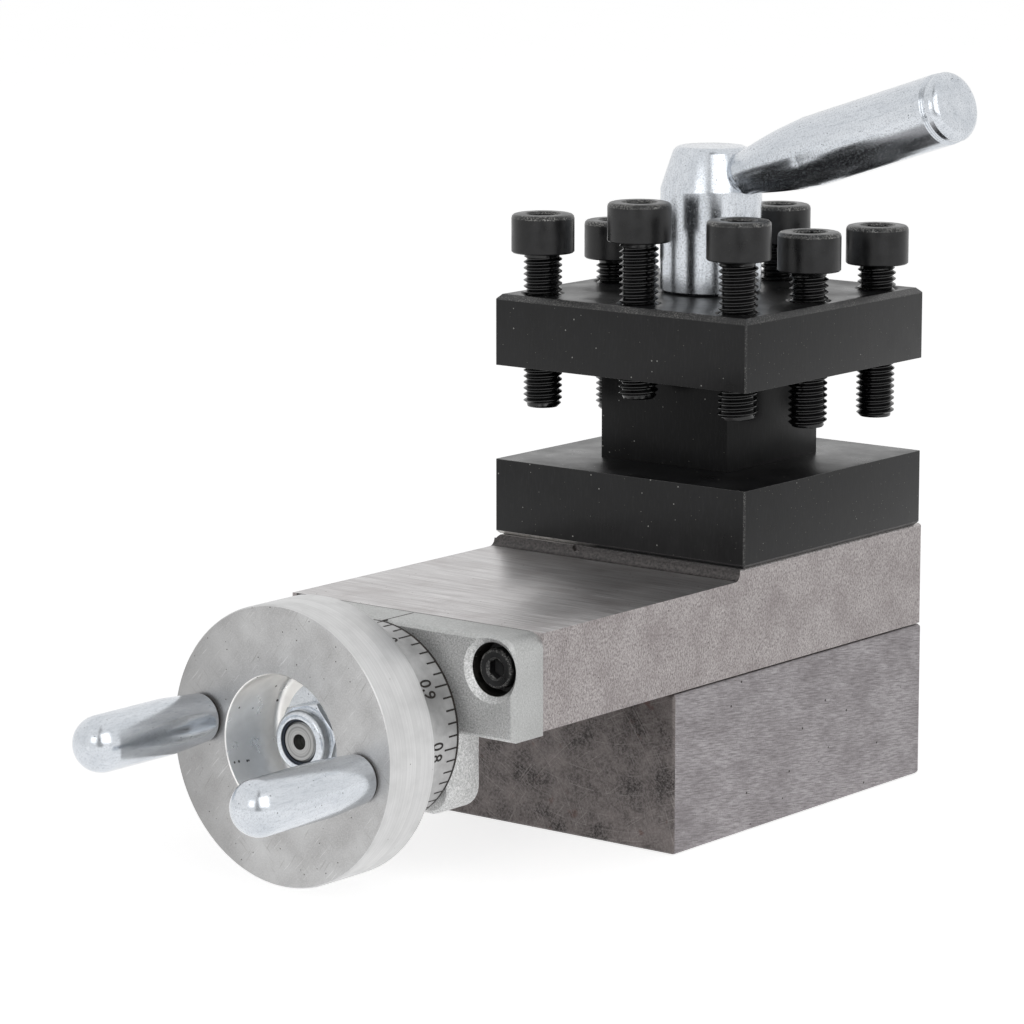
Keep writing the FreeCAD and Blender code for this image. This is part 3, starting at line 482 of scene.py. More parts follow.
def scraped_iron_way():
    """Ground iron of the dovetail and hidden faces: brighter and smoother than the outside."""
    finish, tree, shader, place = new_finish("ground_iron_way", Metallic=0.9)
    streak = noise(tree, place, 0.4, 3, stretch=(1, 30, 1))
    link(tree, shader, Base_Color=blend(tree, streak, linear("#7f7b7b"), linear("#a7a4a4")))
    link(tree, shader, Roughness=ramp(tree, streak, 0.3, 0.7, 0.3, 0.42))
    link(tree, shader, Normal=bump(tree, streak, 0.006))
    return finish


def turned_steel_end():
    """Turned steel of the feed screw: grey, with close rings that show on its end."""
    finish, tree, shader, place = new_finish("turned_bright_steel", Metallic=0.9)
    rings = noise(tree, around(tree, place), 0.4, 3, roughness=0.6)
    colour = blend(tree, ramp(tree, rings, 0.35, 0.65, 0, 1), linear("#7d7d7c"), linear("#b4b4b3"))
    link(tree, shader, Base_Color=colour)
    link(tree, shader, Roughness=ramp(tree, rings, 0.3, 0.7, 0.3, 0.42))
    link(tree, shader, Normal=bump(tree, rings, 0.02))
    return finish


def plain_metal(name, pale, dark, low, high, metallic=1.0, period=1.2):
    """A small hidden or half-hidden part: two close tones and a fine turned relief."""
    finish, tree, shader, place = new_finish(name, Metallic=metallic)
    cloud = noise(tree, place, period, 4)
    colour = blend(tree, ramp(tree, cloud, 0.35, 0.65, 0, 1), linear(pale), linear(dark))
    link(tree, shader, Base_Color=colour)
    link(tree, shader, Roughness=ramp(tree, cloud, 0.3, 0.7, low, high))
    link(tree, shader, Normal=bump(tree, noise(tree, place, 0.3, 2), 0.006))
    return finish


POST = black_oxide_post("black_oxide_ground_steel", "#101011", "#1b1b1c", 0.27)
POST_LEDGE = black_oxide_post("black_oxide_oiled_ledge", "#151516", "#222223", 0.42)
POST_CORE = black_oxide_post("black_oxide_milled_core", "#0a0a0b", "#131314", 0.14)
POST_EDGE = rubbed_oxide_edge()
POST_FOOT = pale_left_chamfer()
SCREW = black_oxide_screw("black_oxide_screw_head", "#171718", "#282829", 0.36, 0.26, 0.4, 3)
THREAD = black_oxide_screw("oiled_black_thread", "#070708", "#111112", 0.5, 0.16, 0.28, 1.5)
HEAD_RIM = rubbed_head_rim()
ZINC = bright_zinc("bright_zinc_plate", 0.005, 0.14, (1, 6, 1))
HUB_ZINC = bright_zinc("bright_zinc_hub", 0.011, 0.36, (1, 1, 6))
LEVER_ZINC = bright_zinc("bright_zinc_lever", 0.014, 0.42, (10, 1, 1), (0, -LEVER_RISE, LEVER_DIRECTION))
RIM = turned_aluminium_rim()
FACE = faced_aluminium_with_painted_shade()
RECESS = bored_aluminium()
DIAL = satin_aluminium_dial()
# Two copies of one blasted casting: the front takes the paler one, painted light that offsets the wheel's
# shade on it.
CASTING = blasted_aluminium("bead_blasted_aluminium_painted_pale_front", "#f2f2f2", "#b6b7b6", 0.042)
CASTING_SIDE = blasted_aluminium("smooth_cast_aluminium", "#cdcecd", "#b2b3b2", 0.012)
BORE = dark_bore_wall()
DECK = ground_iron_deck()
SLIDE_SIDE = ground_iron_side()
BASE_SIDE = brushed_iron_side()
BASE_FACE = stained_and_shade_painted_iron_face()
IRON_EDGE = worn_iron_edge()
WAY = scraped_iron_way()
STEEL = turned_steel_end()
GIB_STEEL = plain_metal("ground_gib_steel", "#a4a4a6", "#88888a", 0.26, 0.38)
BRONZE = plain_metal("machined_bronze", "#b98a4c", "#9a6e38", 0.32, 0.45)
NYLON = plain_metal("dark_blue_nylon", "#1d2430", "#2a3342", 0.45, 0.6, metallic=0.0)
# Painted shade: a dark tone for the land's front and fillet under the post.
LAND_FRONT_SHADE = plain_metal("painted_shade_land_front", "#2b2929", "#575352", 0.35, 0.5, metallic=0.4, period=0.5)
# Black fill of the engraved divisions and index line, also used as painted shade at the dial's rear edge.
PAINT = plain_metal("black_filled_engraving_and_painted_gap_shade", "#15110f", "#241c17", 0.6, 0.75, metallic=0.0)
# Dark grime colour, also used as painted shade at the base of the handles.
GRIME_AND_CREASE_SHADE = plain_metal("oily_grime_and_painted_crease_shade", "#191614", "#2b2623", 0.4, 0.6, metallic=0.0)


# Making pieces


def finished(shape, name, body, finishes, replaced=(), sharp=30):
    """The shape, in millimetres, becomes a piece that rides on its body."""
    bmesh.ops.scale(shape, vec=(MM, MM, MM), verts=shape.verts)
    bmesh.ops.recalc_face_normals(shape, faces=shape.faces)
    mesh = bpy.data.meshes.new(name)
    shape.to_mesh(mesh)
    shape.free()
    for finish in finishes:
        mesh.materials.append(finish)
    mesh.shade_smooth()
    mesh.set_sharp_from_angle(angle=math.radians(sharp))
    made = bpy.data.objects.new(name, mesh)
    bpy.context.scene.collection.objects.link(made)
    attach(made, body)
    if replaced:
        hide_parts(*replaced)
    return made


def turned(outline, rounds, steps):
    """A solid turned about Z from (radius, height) points; rounds maps a point's number to its round-over."""
    shape = bmesh.new()
    corners = [shape.verts.new((radius, 0, height)) for radius, height in outline]
    for a, b in zip(corners, corners[1:]):
        shape.edges.new((a, b))
    for number, (width, segments) in (rounds or {}).items():
        bmesh.ops.bevel(shape, geom=[corners[number]], offset=width, segments=segments, profile=0.5,
                        affect="VERTICES", material=-1, clamp_overlap=False)
    bmesh.ops.spin(shape, geom=shape.verts[:] + shape.edges[:], cent=(0, 0, 0), axis=(0, 0, 1),
                   dvec=(0, 0, 0), angle=CIRCLE, steps=steps, use_merge=True, use_duplicate=False)
    bmesh.ops.remove_doubles(shape, verts=shape.verts, dist=1e-4)
    bmesh.ops.recalc_face_normals(shape, faces=shape.faces)
    return shape


def toward(place, direction):
    """The matrix that sets a shape's own Z along direction, at place."""
    return Matrix.Translation(place) @ Vector(direction).to_track_quat("Z", "Y").to_matrix().to_4x4()


def moved(shape, matrix):
    bmesh.ops.transform(shape, matrix=matrix, verts=shape.verts)
    return shape


def on_screw_axis(outline, rounds, steps):
    """Turned about the feed screw from (radius, y) points."""
    shape = turned(outline, rounds, steps)
    return moved(shape, Matrix.Translation((0, 0, SCREW_AXIS_Z)) @ Matrix.Rotation(math.radians(-90), 4, "X"))


def cad_copy(node):
    """A merged copy of a CAD node's mesh, in millimetres, with its flat faces made whole."""
    shape = bmesh.new()
    shape.from_mesh(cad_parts[node].data)
    bmesh.ops.scale(shape, vec=(1 / MM, 1 / MM, 1 / MM), verts=shape.verts)
    bmesh.ops.remove_doubles(shape, verts=shape.verts, dist=0.002)
    bmesh.ops.dissolve_limit(shape, angle_limit=math.radians(1), verts=shape.verts, edges=shape.edges)
    return shape


def soften(shape, width, over=25):
    """Rounds every edge sharper than the given angle by a small width."""
    sharp = [e for e in shape.edges if e.is_manifold and e.calc_face_angle(0) > math.radians(over)]
    bmesh.ops.bevel(shape, geom=sharp, offset=width, segments=2, profile=0.5, affect="EDGES",
                    material=-1, clamp_overlap=True)
    return shape


def faced(shape, rules):
    """Gives each face the finish of the first rule its middle and normal pass."""
    shape.normal_update()
    for face in shape.faces:
        centre = face.calc_center_median()
        for number, rule in rules:
            if rule(centre, face.normal):
                face.material_index = number
                break
    return shape


def parts_of(made, kind):
    """The vertices or the edges that an operator made."""
    return [g for g in made["geom"] if isinstance(g, kind)]


def socket_head(radius, height, key, key_depth, edge, foot_radius):
    """A socket head with its underside at z 0, open below round the neck, with a hexagonal socket."""
    under = 0.25
    shape = bmesh.new()
    mouth_radius = key / math.sqrt(3) + 0.3
    outline = [(foot_radius, 0), (radius - under, 0), (radius, under), (radius, height - edge)]
    for step in (1, 2, 3):
        turn = step * math.pi / 6
        outline.append((radius - edge + edge * math.cos(turn), height - edge + edge * math.sin(turn)))
    outline += [(mouth_radius, height), (mouth_radius - 0.35, height - 0.4)]
    corners = [shape.verts.new((r, 0, z)) for r, z in outline]
    for a, b in zip(corners, corners[1:]):
        shape.edges.new((a, b))
    bmesh.ops.spin(shape, geom=shape.verts[:] + shape.edges[:], cent=(0, 0, 0), axis=(0, 0, 1),
                   dvec=(0, 0, 0), angle=CIRCLE, steps=HEAD_STEPS, use_merge=True, use_duplicate=False)
    rim = [e for e in shape.edges if e.is_boundary and min(v.co.z for v in e.verts) > height - 0.5]
    wall = bmesh.ops.create_circle(shape, cap_ends=False, radius=key / math.sqrt(3), segments=6)["verts"]
    bmesh.ops.translate(shape, verts=wall, vec=(0, 0, height - 0.55))
    top_ring = list({e for v in wall for e in v.link_edges})
    bmesh.ops.bridge_loops(shape, edges=rim + top_ring)
    down = bmesh.ops.extrude_edge_only(shape, edges=top_ring)
    bmesh.ops.translate(shape, verts=parts_of(down, bmesh.types.BMVert), vec=(0, 0, 0.55 - key_depth))
    drill = bmesh.ops.extrude_edge_only(shape, edges=parts_of(down, bmesh.types.BMEdge))
    centre = Vector((0, 0, height - key_depth))
    for vert in parts_of(drill, bmesh.types.BMVert):
        vert.co = centre + (vert.co - centre) * 0.25 - Vector((0, 0, key * 0.12))
    bmesh.ops.contextual_create(shape, geom=parts_of(drill, bmesh.types.BMEdge))
    bmesh.ops.recalc_face_normals(shape, faces=shape.faces)
    return shape


def thread(crest, root, pitch, low, high, tip):
    """A V thread about Z from low to high, its lower end chamfered and closed, its upper end left open."""
    turns = math.ceil((high - low) / pitch) + 2
    shape = bmesh.new()
    start = low - pitch
    points = [(root, 0.0), (root, 0.06), (crest, 0.44), (crest, 0.56), (root, 0.94), (root, 1.0)]
    corners = [shape.verts.new((radius, 0, start + part * pitch)) for radius, part in points]
    for a, b in zip(corners, corners[1:]):
        shape.edges.new((a, b))
    bmesh.ops.spin(shape, geom=shape.verts[:] + shape.edges[:], cent=(0, 0, 0), axis=(0, 0, 1),
                   dvec=(0, 0, pitch / THREAD_STEPS), angle=CIRCLE * turns, steps=THREAD_STEPS * turns,
                   use_merge=False, use_duplicate=False)
    bmesh.ops.remove_doubles(shape, verts=shape.verts, dist=0.004)
    for height, upward in ((low, False), (high, True)):
        bmesh.ops.bisect_plane(shape, geom=shape.verts[:] + shape.edges[:] + shape.faces[:], dist=1e-5,
                               plane_co=(0, 0, height), plane_no=(0, 0, 1),
                               clear_outer=upward, clear_inner=not upward)
    for vert in shape.verts:
        limit = crest - tip + max(0, vert.co.z - low)
        away = vert.co.xy.length
        if away > limit:
            vert.co.xy *= limit / away
    end = [e for e in shape.edges if e.is_boundary and max(v.co.z for v in e.verts) < low + 1e-3]
    bmesh.ops.holes_fill(shape, edges=end, sides=0)
    return shape


def tool_screw(length):
    """An M8 socket cap screw, head down to z 0, with a short plain neck above its thread."""
    shape = socket_head(HEAD_RADIUS, HEAD_HEIGHT, key=6.0, key_depth=4.0, edge=0.9, foot_radius=3.55)
    faced(shape, [
        (2, lambda c, n: c.z > HEAD_HEIGHT - 0.95
         and (c.xy.length > HEAD_RADIUS - 0.8 or c.xy.length < 3.75)),
        (1, lambda c, n: c.z > 0 and c.xy.length < 3.5),
    ])
    neck_end = -0.9
    shank = thread(crest=4.0, root=3.3, pitch=1.25, low=-length, high=neck_end, tip=0.9)
    for face in shank.faces:
        face.material_index = 1
    whole = gathered([shape, shank])
    upper = [e for e in whole.edges if e.is_boundary and abs(e.verts[0].co.z) < 1e-3]
    lower = [e for e in whole.edges if e.is_boundary and abs(e.verts[0].co.z - neck_end) < 1e-3]
    for face in bmesh.ops.bridge_loops(whole, edges=upper + lower)["faces"]:
        face.material_index = 1
    return whole


def gathered(shapes):
    """Several shapes as one."""
    whole = bmesh.new()
    for shape in shapes:
        mesh = bpy.data.meshes.new("part")
        shape.to_mesh(mesh)
        shape.free()
        whole.from_mesh(mesh)
        bpy.data.meshes.remove(mesh)
    return whole


def bevelled(face_normal):
    """True for a face that lies along none of the three axes."""
    return max(abs(part) for part in face_normal) < 0.985


def placed_copy(shape, matrix):
    return moved(shape.copy(), matrix)


# Tool post with its screws, hub and lever

post = soften(cad_copy("tool_post"), 0.16)
faced(post, [
    (2, lambda c, n: bevelled(n) and n.y < -0.3 and n.z < -0.3 and c.z < POST_FOOT_Z + 1),
    (1, lambda c, n: bevelled(n) and max(abs(c.x), abs(c.y)) > POST_SIDE),
    (3, lambda c, n: abs(n.z) < 0.5 and max(abs(c.x), abs(c.y)) < NEAR_SIDE),
    (4, lambda c, n: n.z > 0.9 and c.z < (POST_FOOT_Z + POST_TOP_Z) / 2),
])
finished(post, "tool_post_block", "turret", [POST, POST_EDGE, POST_FOOT, POST_CORE, POST_LEDGE],
         ["tool_post"])

first_low, first_high = reach("tool_screw_1")
screw = tool_screw(first_high.z - first_low.z - HEAD_HEIGHT)
for number in range(1, 9):
    low, high = reach(f"tool_screw_{number}")
    spot = Vector(((low.x + high.x) / 2, (low.y + high.y) / 2, high.z - HEAD_HEIGHT))
    turn = Matrix.Rotation(math.radians(37 * number), 4, "Z")
    finished(placed_copy(screw, Matrix.Translation(spot) @ turn), f"threaded_tool_screw_{number}",
             f"screw_{number}", [SCREW, THREAD, HEAD_RIM], [f"tool_screw_{number}"], sharp=40)
screw.free()

hub = turned([(0, 24.0), (5.1, 24.0), (5.1, 0), (10.0, 0), (10.5, 0.5), (10.5, HUB_CYLINDER),
              (7.6, 30.0), (0, 30.0)],
             {5: (0.3, 2), 6: (1.3, 6)}, 160)
finished(moved(hub, Matrix.Translation((0, 0, hub_low.z))), "clamp_hub_turned", "clamp", [HUB_ZINC],
         ["clamp_hub"])

# The lever's outline: root, neck, curved flare, bar, turned grooves and rounded end
lever_outline = [(0, 4.6), (4.3, 4.6), (4.3, 9.2), (4.5, 9.6), (4.6, 10.4), (4.6, 11.2)]
for step in range(1, 10):
    part = step / 9
    lever_outline.append((4.6 + 2.55 * part + 0.35 * math.sin(part * math.pi), 11.2 + 18.3 * part))
lever_outline += [(7.12, 29.9), (7.15, 30.1), (7.15, 63.8), (6.95, 64.0), (7.1, 64.3), (6.9, 64.5),
                  (7.08, 64.8), (6.9, 65.0)]
for step in range(1, 9):
    turn = math.radians(10 + 10 * step)
    lever_outline.append((4.65 + 2.48 * math.cos(turn), 65.3 + 2.48 * math.sin(turn)))
lever_outline += [(4.4, 67.75), (1.2, 67.7), (0.7, 67.5), (0, 67.45)]
lever_line = (math.cos(LEVER_DIRECTION) * math.cos(LEVER_RISE),
              math.sin(LEVER_DIRECTION) * math.cos(LEVER_RISE),
              math.sin(LEVER_RISE))
lever = moved(turned(lever_outline, None, 160), toward((0, 0, LEVER_ROOT_Z), lever_line))
finished(lever, "clamp_lever_turned", "clamp", [LEVER_ZINC], ["clamp_lever"], sharp=24)


# Handwheel, handles, dial and lock nut

disc_back_y = WHEEL_FRONT_Y + DISC_THICKNESS
recess_floor_y = WHEEL_FRONT_Y + RECESS_DEPTH
wheel = on_screw_axis([(4.05, WHEEL_BACK_Y), (16.5, WHEEL_BACK_Y), (16.5, disc_back_y),
                       (WHEEL_RADIUS, disc_back_y), (WHEEL_RADIUS, WHEEL_FRONT_Y),
                       (RECESS_RADIUS + 0.2, WHEEL_FRONT_Y),
                       (RECESS_RADIUS, WHEEL_FRONT_Y + 0.2), (RECESS_RADIUS, recess_floor_y),
                       (4.05, recess_floor_y), (4.05, WHEEL_BACK_Y)],
                      {3: (0.5, 3), 4: (0.5, 3), 7: (1.2, 4)}, 192)
faced(wheel, [
    (1, lambda c, n: n.y < -0.9 and c.y < WHEEL_FRONT_Y + 0.2),
    (2, lambda c, n: c.y > WHEEL_FRONT_Y + 0.05 and c.y < recess_floor_y + 0.1
     and (c.xz - Vector((0, SCREW_AXIS_Z))).length < RECESS_RADIUS + 0.5),
])
finished(wheel, "handwheel_turned", "spindle", [RIM, FACE, RECESS], ["handwheel"], sharp=26)

for side in ("left", "right"):
    low, high = reach(f"handle_{side}")
    long = WHEEL_FRONT_Y - low.y
    grip = turned([(0, -8.9), (2.5, -8.9), (2.5, -0.02), (4.4, -0.02), (4.4, 0.7), (4.7, 0.8),
                   (5.35, 9.4), (5.4, 10.2), (5.4, long), (0, long)], {8: (5.38, 16)}, 112)
    spot = ((low.x + high.x) / 2, WHEEL_FRONT_Y, (low.z + high.z) / 2)
    # Painted shade: the handle's first 0.72 mm at the wheel face takes the dark grime colour, for the shade
    # in the gap round its base.
    faced(moved(grip, toward(spot, (0, -1, 0))), [(1, lambda c, n: c.y > WHEEL_FRONT_Y - 0.72)])
    finished(grip, f"bullet_handle_{side}", "spindle", [ZINC, GRIME_AND_CREASE_SHADE],
             [f"handle_{side}"])

dial = on_screw_axis([(16.55, dial_low.y), (DIAL_RADIUS, dial_low.y), (DIAL_RADIUS, dial_high.y),
                      (16.55, dial_high.y), (16.55, dial_low.y)], {1: (0.3, 2), 2: (0.3, 2)}, 160)
finished(dial, "dial_ring_turned", "dial", [DIAL], ["dial_ring"])


def on_dial(shape, angle, y):
    """A flat shape with its own +Y along the feed, wrapped on the dial at an angle from the top toward +X."""
    for vert in shape.verts:
        turn = angle + vert.co.x / DIAL_RADIUS
        span = DIAL_RADIUS + vert.co.z
        vert.co = Vector((span * math.sin(turn), y + vert.co.y, SCREW_AXIS_Z + span * math.cos(turn)))
    return shape


def tick(length):
    """One division line, as a thin bar."""
    shape = bmesh.new()
    bmesh.ops.create_cube(shape, size=1)
    bmesh.ops.scale(shape, vec=(TICK_WIDTH, length, TICK_DEPTH), verts=shape.verts)
    return shape


def numeral(words, height, narrow, thicken):
    """Plain upright figures as a thin solid, centred, height millimetres high."""
    curve = bpy.data.curves.new("figures", "FONT")
    curve.body = words
    curve.align_x = "CENTER"
    curve.align_y = "CENTER"
    curve.size = height / 0.72
    curve.extrude = 0.02
    curve.offset = thicken
    holder = bpy.data.objects.new("figures", curve)
    bpy.context.scene.collection.objects.link(holder)
    mesh = bpy.data.meshes.new_from_object(holder)
    bpy.data.objects.remove(holder)
    shape = bmesh.new()
    shape.from_mesh(mesh)
    bmesh.ops.remove_doubles(shape, verts=shape.verts, dist=1e-4)
    bmesh.ops.scale(shape, vec=(narrow, 1, 1), verts=shape.verts)
    bpy.data.meshes.remove(mesh)
    bpy.data.curves.remove(curve)
    return shape


marks = []
for step in range(DIVISIONS):
    length = LONG_TICK if step % 5 == 0 else SHORT_TICK
    line_y = dial_high.y - TICK_SETBACK - length / 2
    marks.append(on_dial(tick(length), ZERO_ANGLE - step * CIRCLE / DIVISIONS, line_y))
for step in range(10):
    words = "0" if step == 0 else f"0.{step}"
    figures = numeral(words, FIGURE_HEIGHT, FIGURE_NARROWING, FIGURE_WEIGHT)
    marks.append(on_dial(figures, ZERO_ANGLE - step * CIRCLE / 10, dial_high.y - FIGURE_SETBACK))
finished(gathered(marks), "dial_divisions", "dial", [PAINT])

# Painted shade: a black band round the dial's rear edge stands for the shadow in the gap against the bracket.
rear_y = dial_high.y
rear_gap_shade = on_screw_axis([(19.2, rear_y - 0.04), (19.57, rear_y - 0.2), (19.57, rear_y - 0.75),
                           (19.2, rear_y - 0.8), (19.2, rear_y - 0.04)], None, 160)
finished(rear_gap_shade, "dial_rear_painted_gap_shade", "dial", [PAINT])

nut = soften(cad_copy("wheel_nut"), 0.18)
finished(nut, "wheel_lock_nut", "spindle", [ZINC], ["wheel_nut"])


# Bracket and its screws

screw_low, screw_high = reach("bracket_screw_right")
bracket_screw_x = (screw_low.x + screw_high.x) / 2
bracket_screw_z = (screw_low.z + screw_high.z) / 2


def in_counterbore(centre):
    """True for a point inside one of the bracket's two counterbores, behind its chamfered mouth."""
    across = Vector((abs(centre.x) - bracket_screw_x, centre.z - bracket_screw_z)).length
    return across < COUNTERBORE_RADIUS + 0.04 and centre.y > bracket_low.y + BORE_MOUTH


bracket = soften(cad_copy("end_bracket"), 0.4, over=30)
# Painted light: the front keeps the paler casting copy; top and sides take the other.
faced(bracket, [
    (1, lambda c, n: in_counterbore(c)),
    (2, lambda c, n: n.z > 0.3 and c.z > DECK_Z - 3 or abs(n.x) > 0.5 and abs(c.x) > NEAR_SIDE),
])
finished(bracket, "end_bracket_cast", "slide", [CASTING, BORE, CASTING_SIDE],
         ["end_bracket"])

for side, sign in (("left", -1), ("right", 1)):
    head = socket_head(CAP_HEAD_RADIUS, CAP_HEAD_HEIGHT, key=3.4, key_depth=2.2, edge=0.6, foot_radius=2.0)
    faced(head, [
        (1, lambda c, n: c.z > CAP_HEAD_HEIGHT - 0.65
         and (c.xy.length > CAP_HEAD_RADIUS - 0.6 or c.xy.length < 2.4)),
    ])
    open_neck = [e for e in head.edges if e.is_boundary]
    down = bmesh.ops.extrude_edge_only(head, edges=open_neck)
    bmesh.ops.translate(head, verts=parts_of(down, bmesh.types.BMVert), vec=(0, 0, -CAP_SHANK))
    bmesh.ops.holes_fill(head, edges=parts_of(down, bmesh.types.BMEdge), sides=0)
    head_top_y = reach(f"bracket_screw_{side}")[0].y
    spot = (sign * bracket_screw_x, head_top_y + CAP_HEAD_HEIGHT, bracket_screw_z)
    finished(moved(head, toward(spot, (0, -1, 0))), f"bracket_cap_screw_{side}", "slide", [SCREW, HEAD_RIM],
             [f"bracket_screw_{side}"])


# Slide and base

slide = soften(cad_copy("slide_block"), 0.12, over=30)
faced(slide, [
    (4, lambda c, n: (c.xz - LAND_NOTCH).length < LAND_NOTCH_REACH and c.y < LAND_FOOT_BACK
     and abs(n.y) < 0.9 and n.z < 0.9),
    # Painted shade on the land's front under the post.
    (5, lambda c, n: c.z > DECK_Z + 0.05 and n.y < -0.2 and LAND_FOOT_FRONT < c.y < LAND_FOOT_BACK),
    (3, lambda c, n: bevelled(n) and (c.z > DECK_Z - 0.5 or c.z < SLIDE_FOOT_Z) and abs(c.x) > NEAR_SIDE),
    (1, lambda c, n: c.z > DECK_Z - 0.3 and abs(n.x) < 0.5 and c.y < DECK_END_Y),
    (2, lambda c, n: abs(c.x) < DOVETAIL_REACH and c.z < CHANNEL_TOP_Z and abs(n.y) < 0.5),
])
finished(slide, "top_slide_ground", "slide", [SLIDE_SIDE, DECK, WAY, IRON_EDGE, GRIME_AND_CREASE_SHADE, LAND_FRONT_SHADE],
         ["slide_block"])

base = soften(cad_copy("base_block"), 0.2, over=30)
faced(base, [
    # Front and back take the dark stained face, whose tone is partly painted shade under the slide.
    (1, lambda c, n: n.y < -0.5 or n.y > 0.5),
    (2, lambda c, n: abs(c.x) < DOVETAIL_REACH or n.z > 0.9),
])
finished(base, "base_block_ground", "base", [BASE_SIDE, BASE_FACE, WAY], ["base_block"])

# Dark lines on the top: old oil in the joint behind the bracket, and the index line that the dial is read by
slide_low, slide_high = reach("slide_block")


def laid_line(low, high):
    """A thin flat bar between two corners."""
    low, high = Vector(low), Vector(high)
    shape = bmesh.new()
    bmesh.ops.create_cube(shape, size=1)
    bmesh.ops.scale(shape, vec=high - low, verts=shape.verts)
    bmesh.ops.translate(shape, verts=shape.verts, vec=(low + high) / 2)
    return shape


joint_line = laid_line((slide_low.x + 1.2, slide_low.y - 0.14, DECK_Z - 0.4),
                       (slide_high.x - 3.2, slide_low.y + 0.1, DECK_Z + 0.012))
finished(joint_line, "joint_grime_line", "slide", [GRIME_AND_CREASE_SHADE])
index_line = laid_line((-0.16, bracket_low.y + 0.7, DECK_Z - 0.2), (0.16, slide_low.y - 0.5, DECK_Z + 0.02))
finished(index_line, "dial_index_line", "slide", [PAINT])


# CAD nodes that keep their own shape

for node, finish in (
    ("feed_nut", BRONZE), ("bracket_bush", BRONZE), ("nut_screw", SCREW), ("gib_strip", GIB_STEEL),
    ("gib_screw_1", SCREW), ("gib_screw_2", SCREW), ("gib_screw_3", SCREW),
    ("gib_locknut_1", SCREW), ("gib_locknut_2", SCREW), ("gib_locknut_3", SCREW),
    ("feed_screw", STEEL), ("wheel_key", GIB_STEEL), ("dial_spring", GIB_STEEL), ("wheel_washer", ZINC),
    ("nut_insert", NYLON), ("post_stud", STEEL),
):
    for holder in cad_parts[node].material_slots:
        holder.material = finish


# Studio


SOFT_LIGHT = 0.36
FLOOR_GLOW = 0.7
FLOOR_WIDTH = 6
FLOOR_DROP = 0.0002
ROOM_GAP = math.radians(38)
GAP_DARK = math.radians(8)
GAP_END = math.radians(13)
GAP_LIGHT = 0.3


def studio_floor():
    """Pale paper: white to the camera and to reflections, with the object's shadow on it."""
    paper = bpy.data.materials.new("pale_studio_paper")
    paper.use_nodes = True
    tree = paper.node_tree
    tree.nodes.clear()
    out = add(tree, "ShaderNodeOutputMaterial")
    path = add(tree, "ShaderNodeLightPath").outputs
    direct = joined(tree, "MAXIMUM", path["Is Camera Ray"], path["Is Transmission Ray"])
    seen = joined(tree, "MAXIMUM", direct, path["Is Glossy Ray"])
    place = add(tree, "ShaderNodeTexCoord").outputs["Object"]
    tone = blend(tree, noise(tree, place, 30, 2), linear("#e6e6e6"), linear("#ececec"))
    matt = add(tree, "ShaderNodeBsdfDiffuse", Color=tone)
    glow = add(tree, "ShaderNodeEmission", Color=(1, 1, 1, 1),
               Strength=joined(tree, "MULTIPLY", seen, FLOOR_GLOW))
    both = add(tree, "ShaderNodeAddShader", i0=matt.outputs[0], i1=glow.outputs[0])
    tree.links.new(both.outputs[0], out.inputs[0])
    bpy.ops.mesh.primitive_plane_add(size=FLOOR_WIDTH, location=(0, 0, -FLOOR_DROP))
    floor = bpy.context.object
    floor.name = "studio_floor"
    floor.data.materials.append(paper)


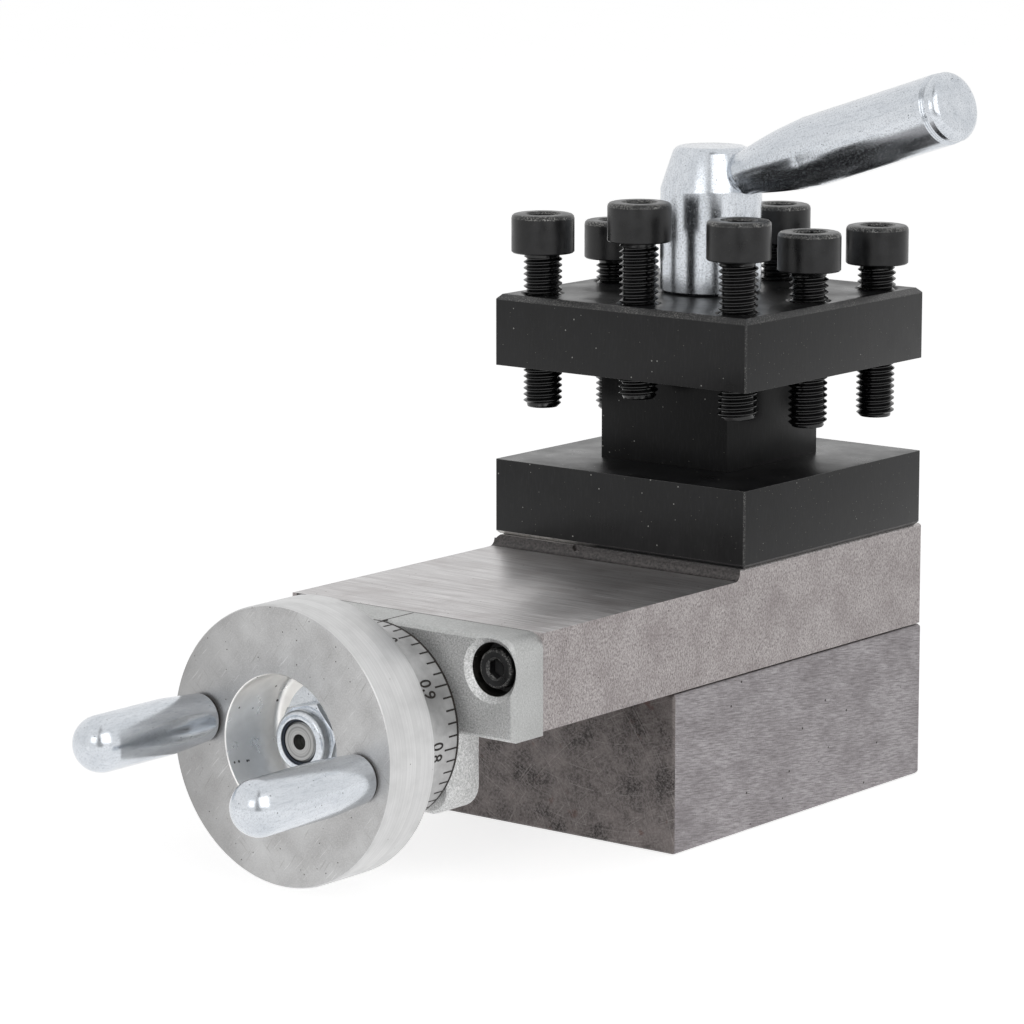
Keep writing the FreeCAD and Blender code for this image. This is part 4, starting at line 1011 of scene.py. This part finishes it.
def studio_world():
    """Even soft white, but for an unlit upright gap in front of the object that only reflections show."""
    world = bpy.data.worlds.new("soft_white_studio")
    world.use_nodes = True
    tree = world.node_tree
    tree.nodes.clear()
    outward = add(tree, "ShaderNodeTexCoord").outputs["Object"]
    flat = vector(tree, "MULTIPLY", outward, (1, 1, 0))
    level = add(tree, "ShaderNodeVectorMath", {"operation": "NORMALIZE"}, i0=flat).outputs[0]
    toward_gap = (math.sin(ROOM_GAP), -math.cos(ROOM_GAP), 0)
    facing = add(tree, "ShaderNodeVectorMath", {"operation": "DOT_PRODUCT"}, i0=level, i1=toward_gap)
    gap = ramp(tree, facing.outputs["Value"], math.cos(GAP_END), math.cos(GAP_DARK), 1.0, GAP_LIGHT)
    path = add(tree, "ShaderNodeLightPath").outputs
    mirrored = joined(tree, "MULTIPLY", path["Is Glossy Ray"], gap)
    direct = joined(tree, "MAXIMUM", path["Is Camera Ray"], path["Is Transmission Ray"])
    strength = joined(tree, "MAXIMUM", joined(tree, "MAXIMUM", direct, mirrored), SOFT_LIGHT)
    sky = add(tree, "ShaderNodeBackground", Color=(1, 1, 1, 1), Strength=strength)
    out = add(tree, "ShaderNodeOutputWorld")
    tree.links.new(sky.outputs[0], out.inputs[0])
    bpy.context.scene.world = world


def soft_lamp(name, spot, size, radiance):
    """A square soft light of the given radiance that faces the object."""
    lamp = bpy.data.lights.new(name, "AREA")
    lamp.size = size
    lamp.energy = radiance * math.pi * size * size
    holder = bpy.data.objects.new(name, lamp)
    aim = Vector((0, -0.03, 0.06))
    spot = Vector(spot)
    turning = (aim - spot).to_track_quat("-Z", "Y").to_matrix().to_4x4()
    holder.matrix_world = Matrix.Translation(spot) @ turning
    bpy.context.scene.collection.objects.link(holder)


studio_floor()
studio_world()
soft_lamp("key_light", (1.1, -0.7, 0.85), size=1.0, radiance=1.5)
soft_lamp("front_fill", (0.2, -1.3, 0.6), size=0.5, radiance=1.2)


# Camera

CAMERA_AZIMUTH = math.radians(38.41)
CAMERA_RISE = math.radians(10.36)
CAMERA_BACK = 929.31
CAMERA_RIGHT = -41.06
CAMERA_UP = 3.45
AIM_HEIGHT = 54.05
back = Vector((math.sin(CAMERA_AZIMUTH) * math.cos(CAMERA_RISE),
               -math.cos(CAMERA_AZIMUTH) * math.cos(CAMERA_RISE),
               math.sin(CAMERA_RISE)))
right = Vector((math.cos(CAMERA_AZIMUTH), math.sin(CAMERA_AZIMUTH), 0))
up = back.cross(right)
lens = bpy.data.cameras.new("camera")
lens.sensor_width = 36
lens.lens = 156.35
lens.clip_start = 0.05
lens.clip_end = 20
camera = bpy.data.objects.new("camera", lens)
turning = Matrix((right, up, back)).transposed().to_4x4()
spot = (back * CAMERA_BACK + right * CAMERA_RIGHT + up * CAMERA_UP + Vector((0, 0, AIM_HEIGHT))) * MM
camera.matrix_world = Matrix.Translation(spot) @ turning
bpy.context.scene.collection.objects.link(camera)
bpy.context.scene.camera = camera
bpy.context.scene.view_settings.view_transform = "Standard"
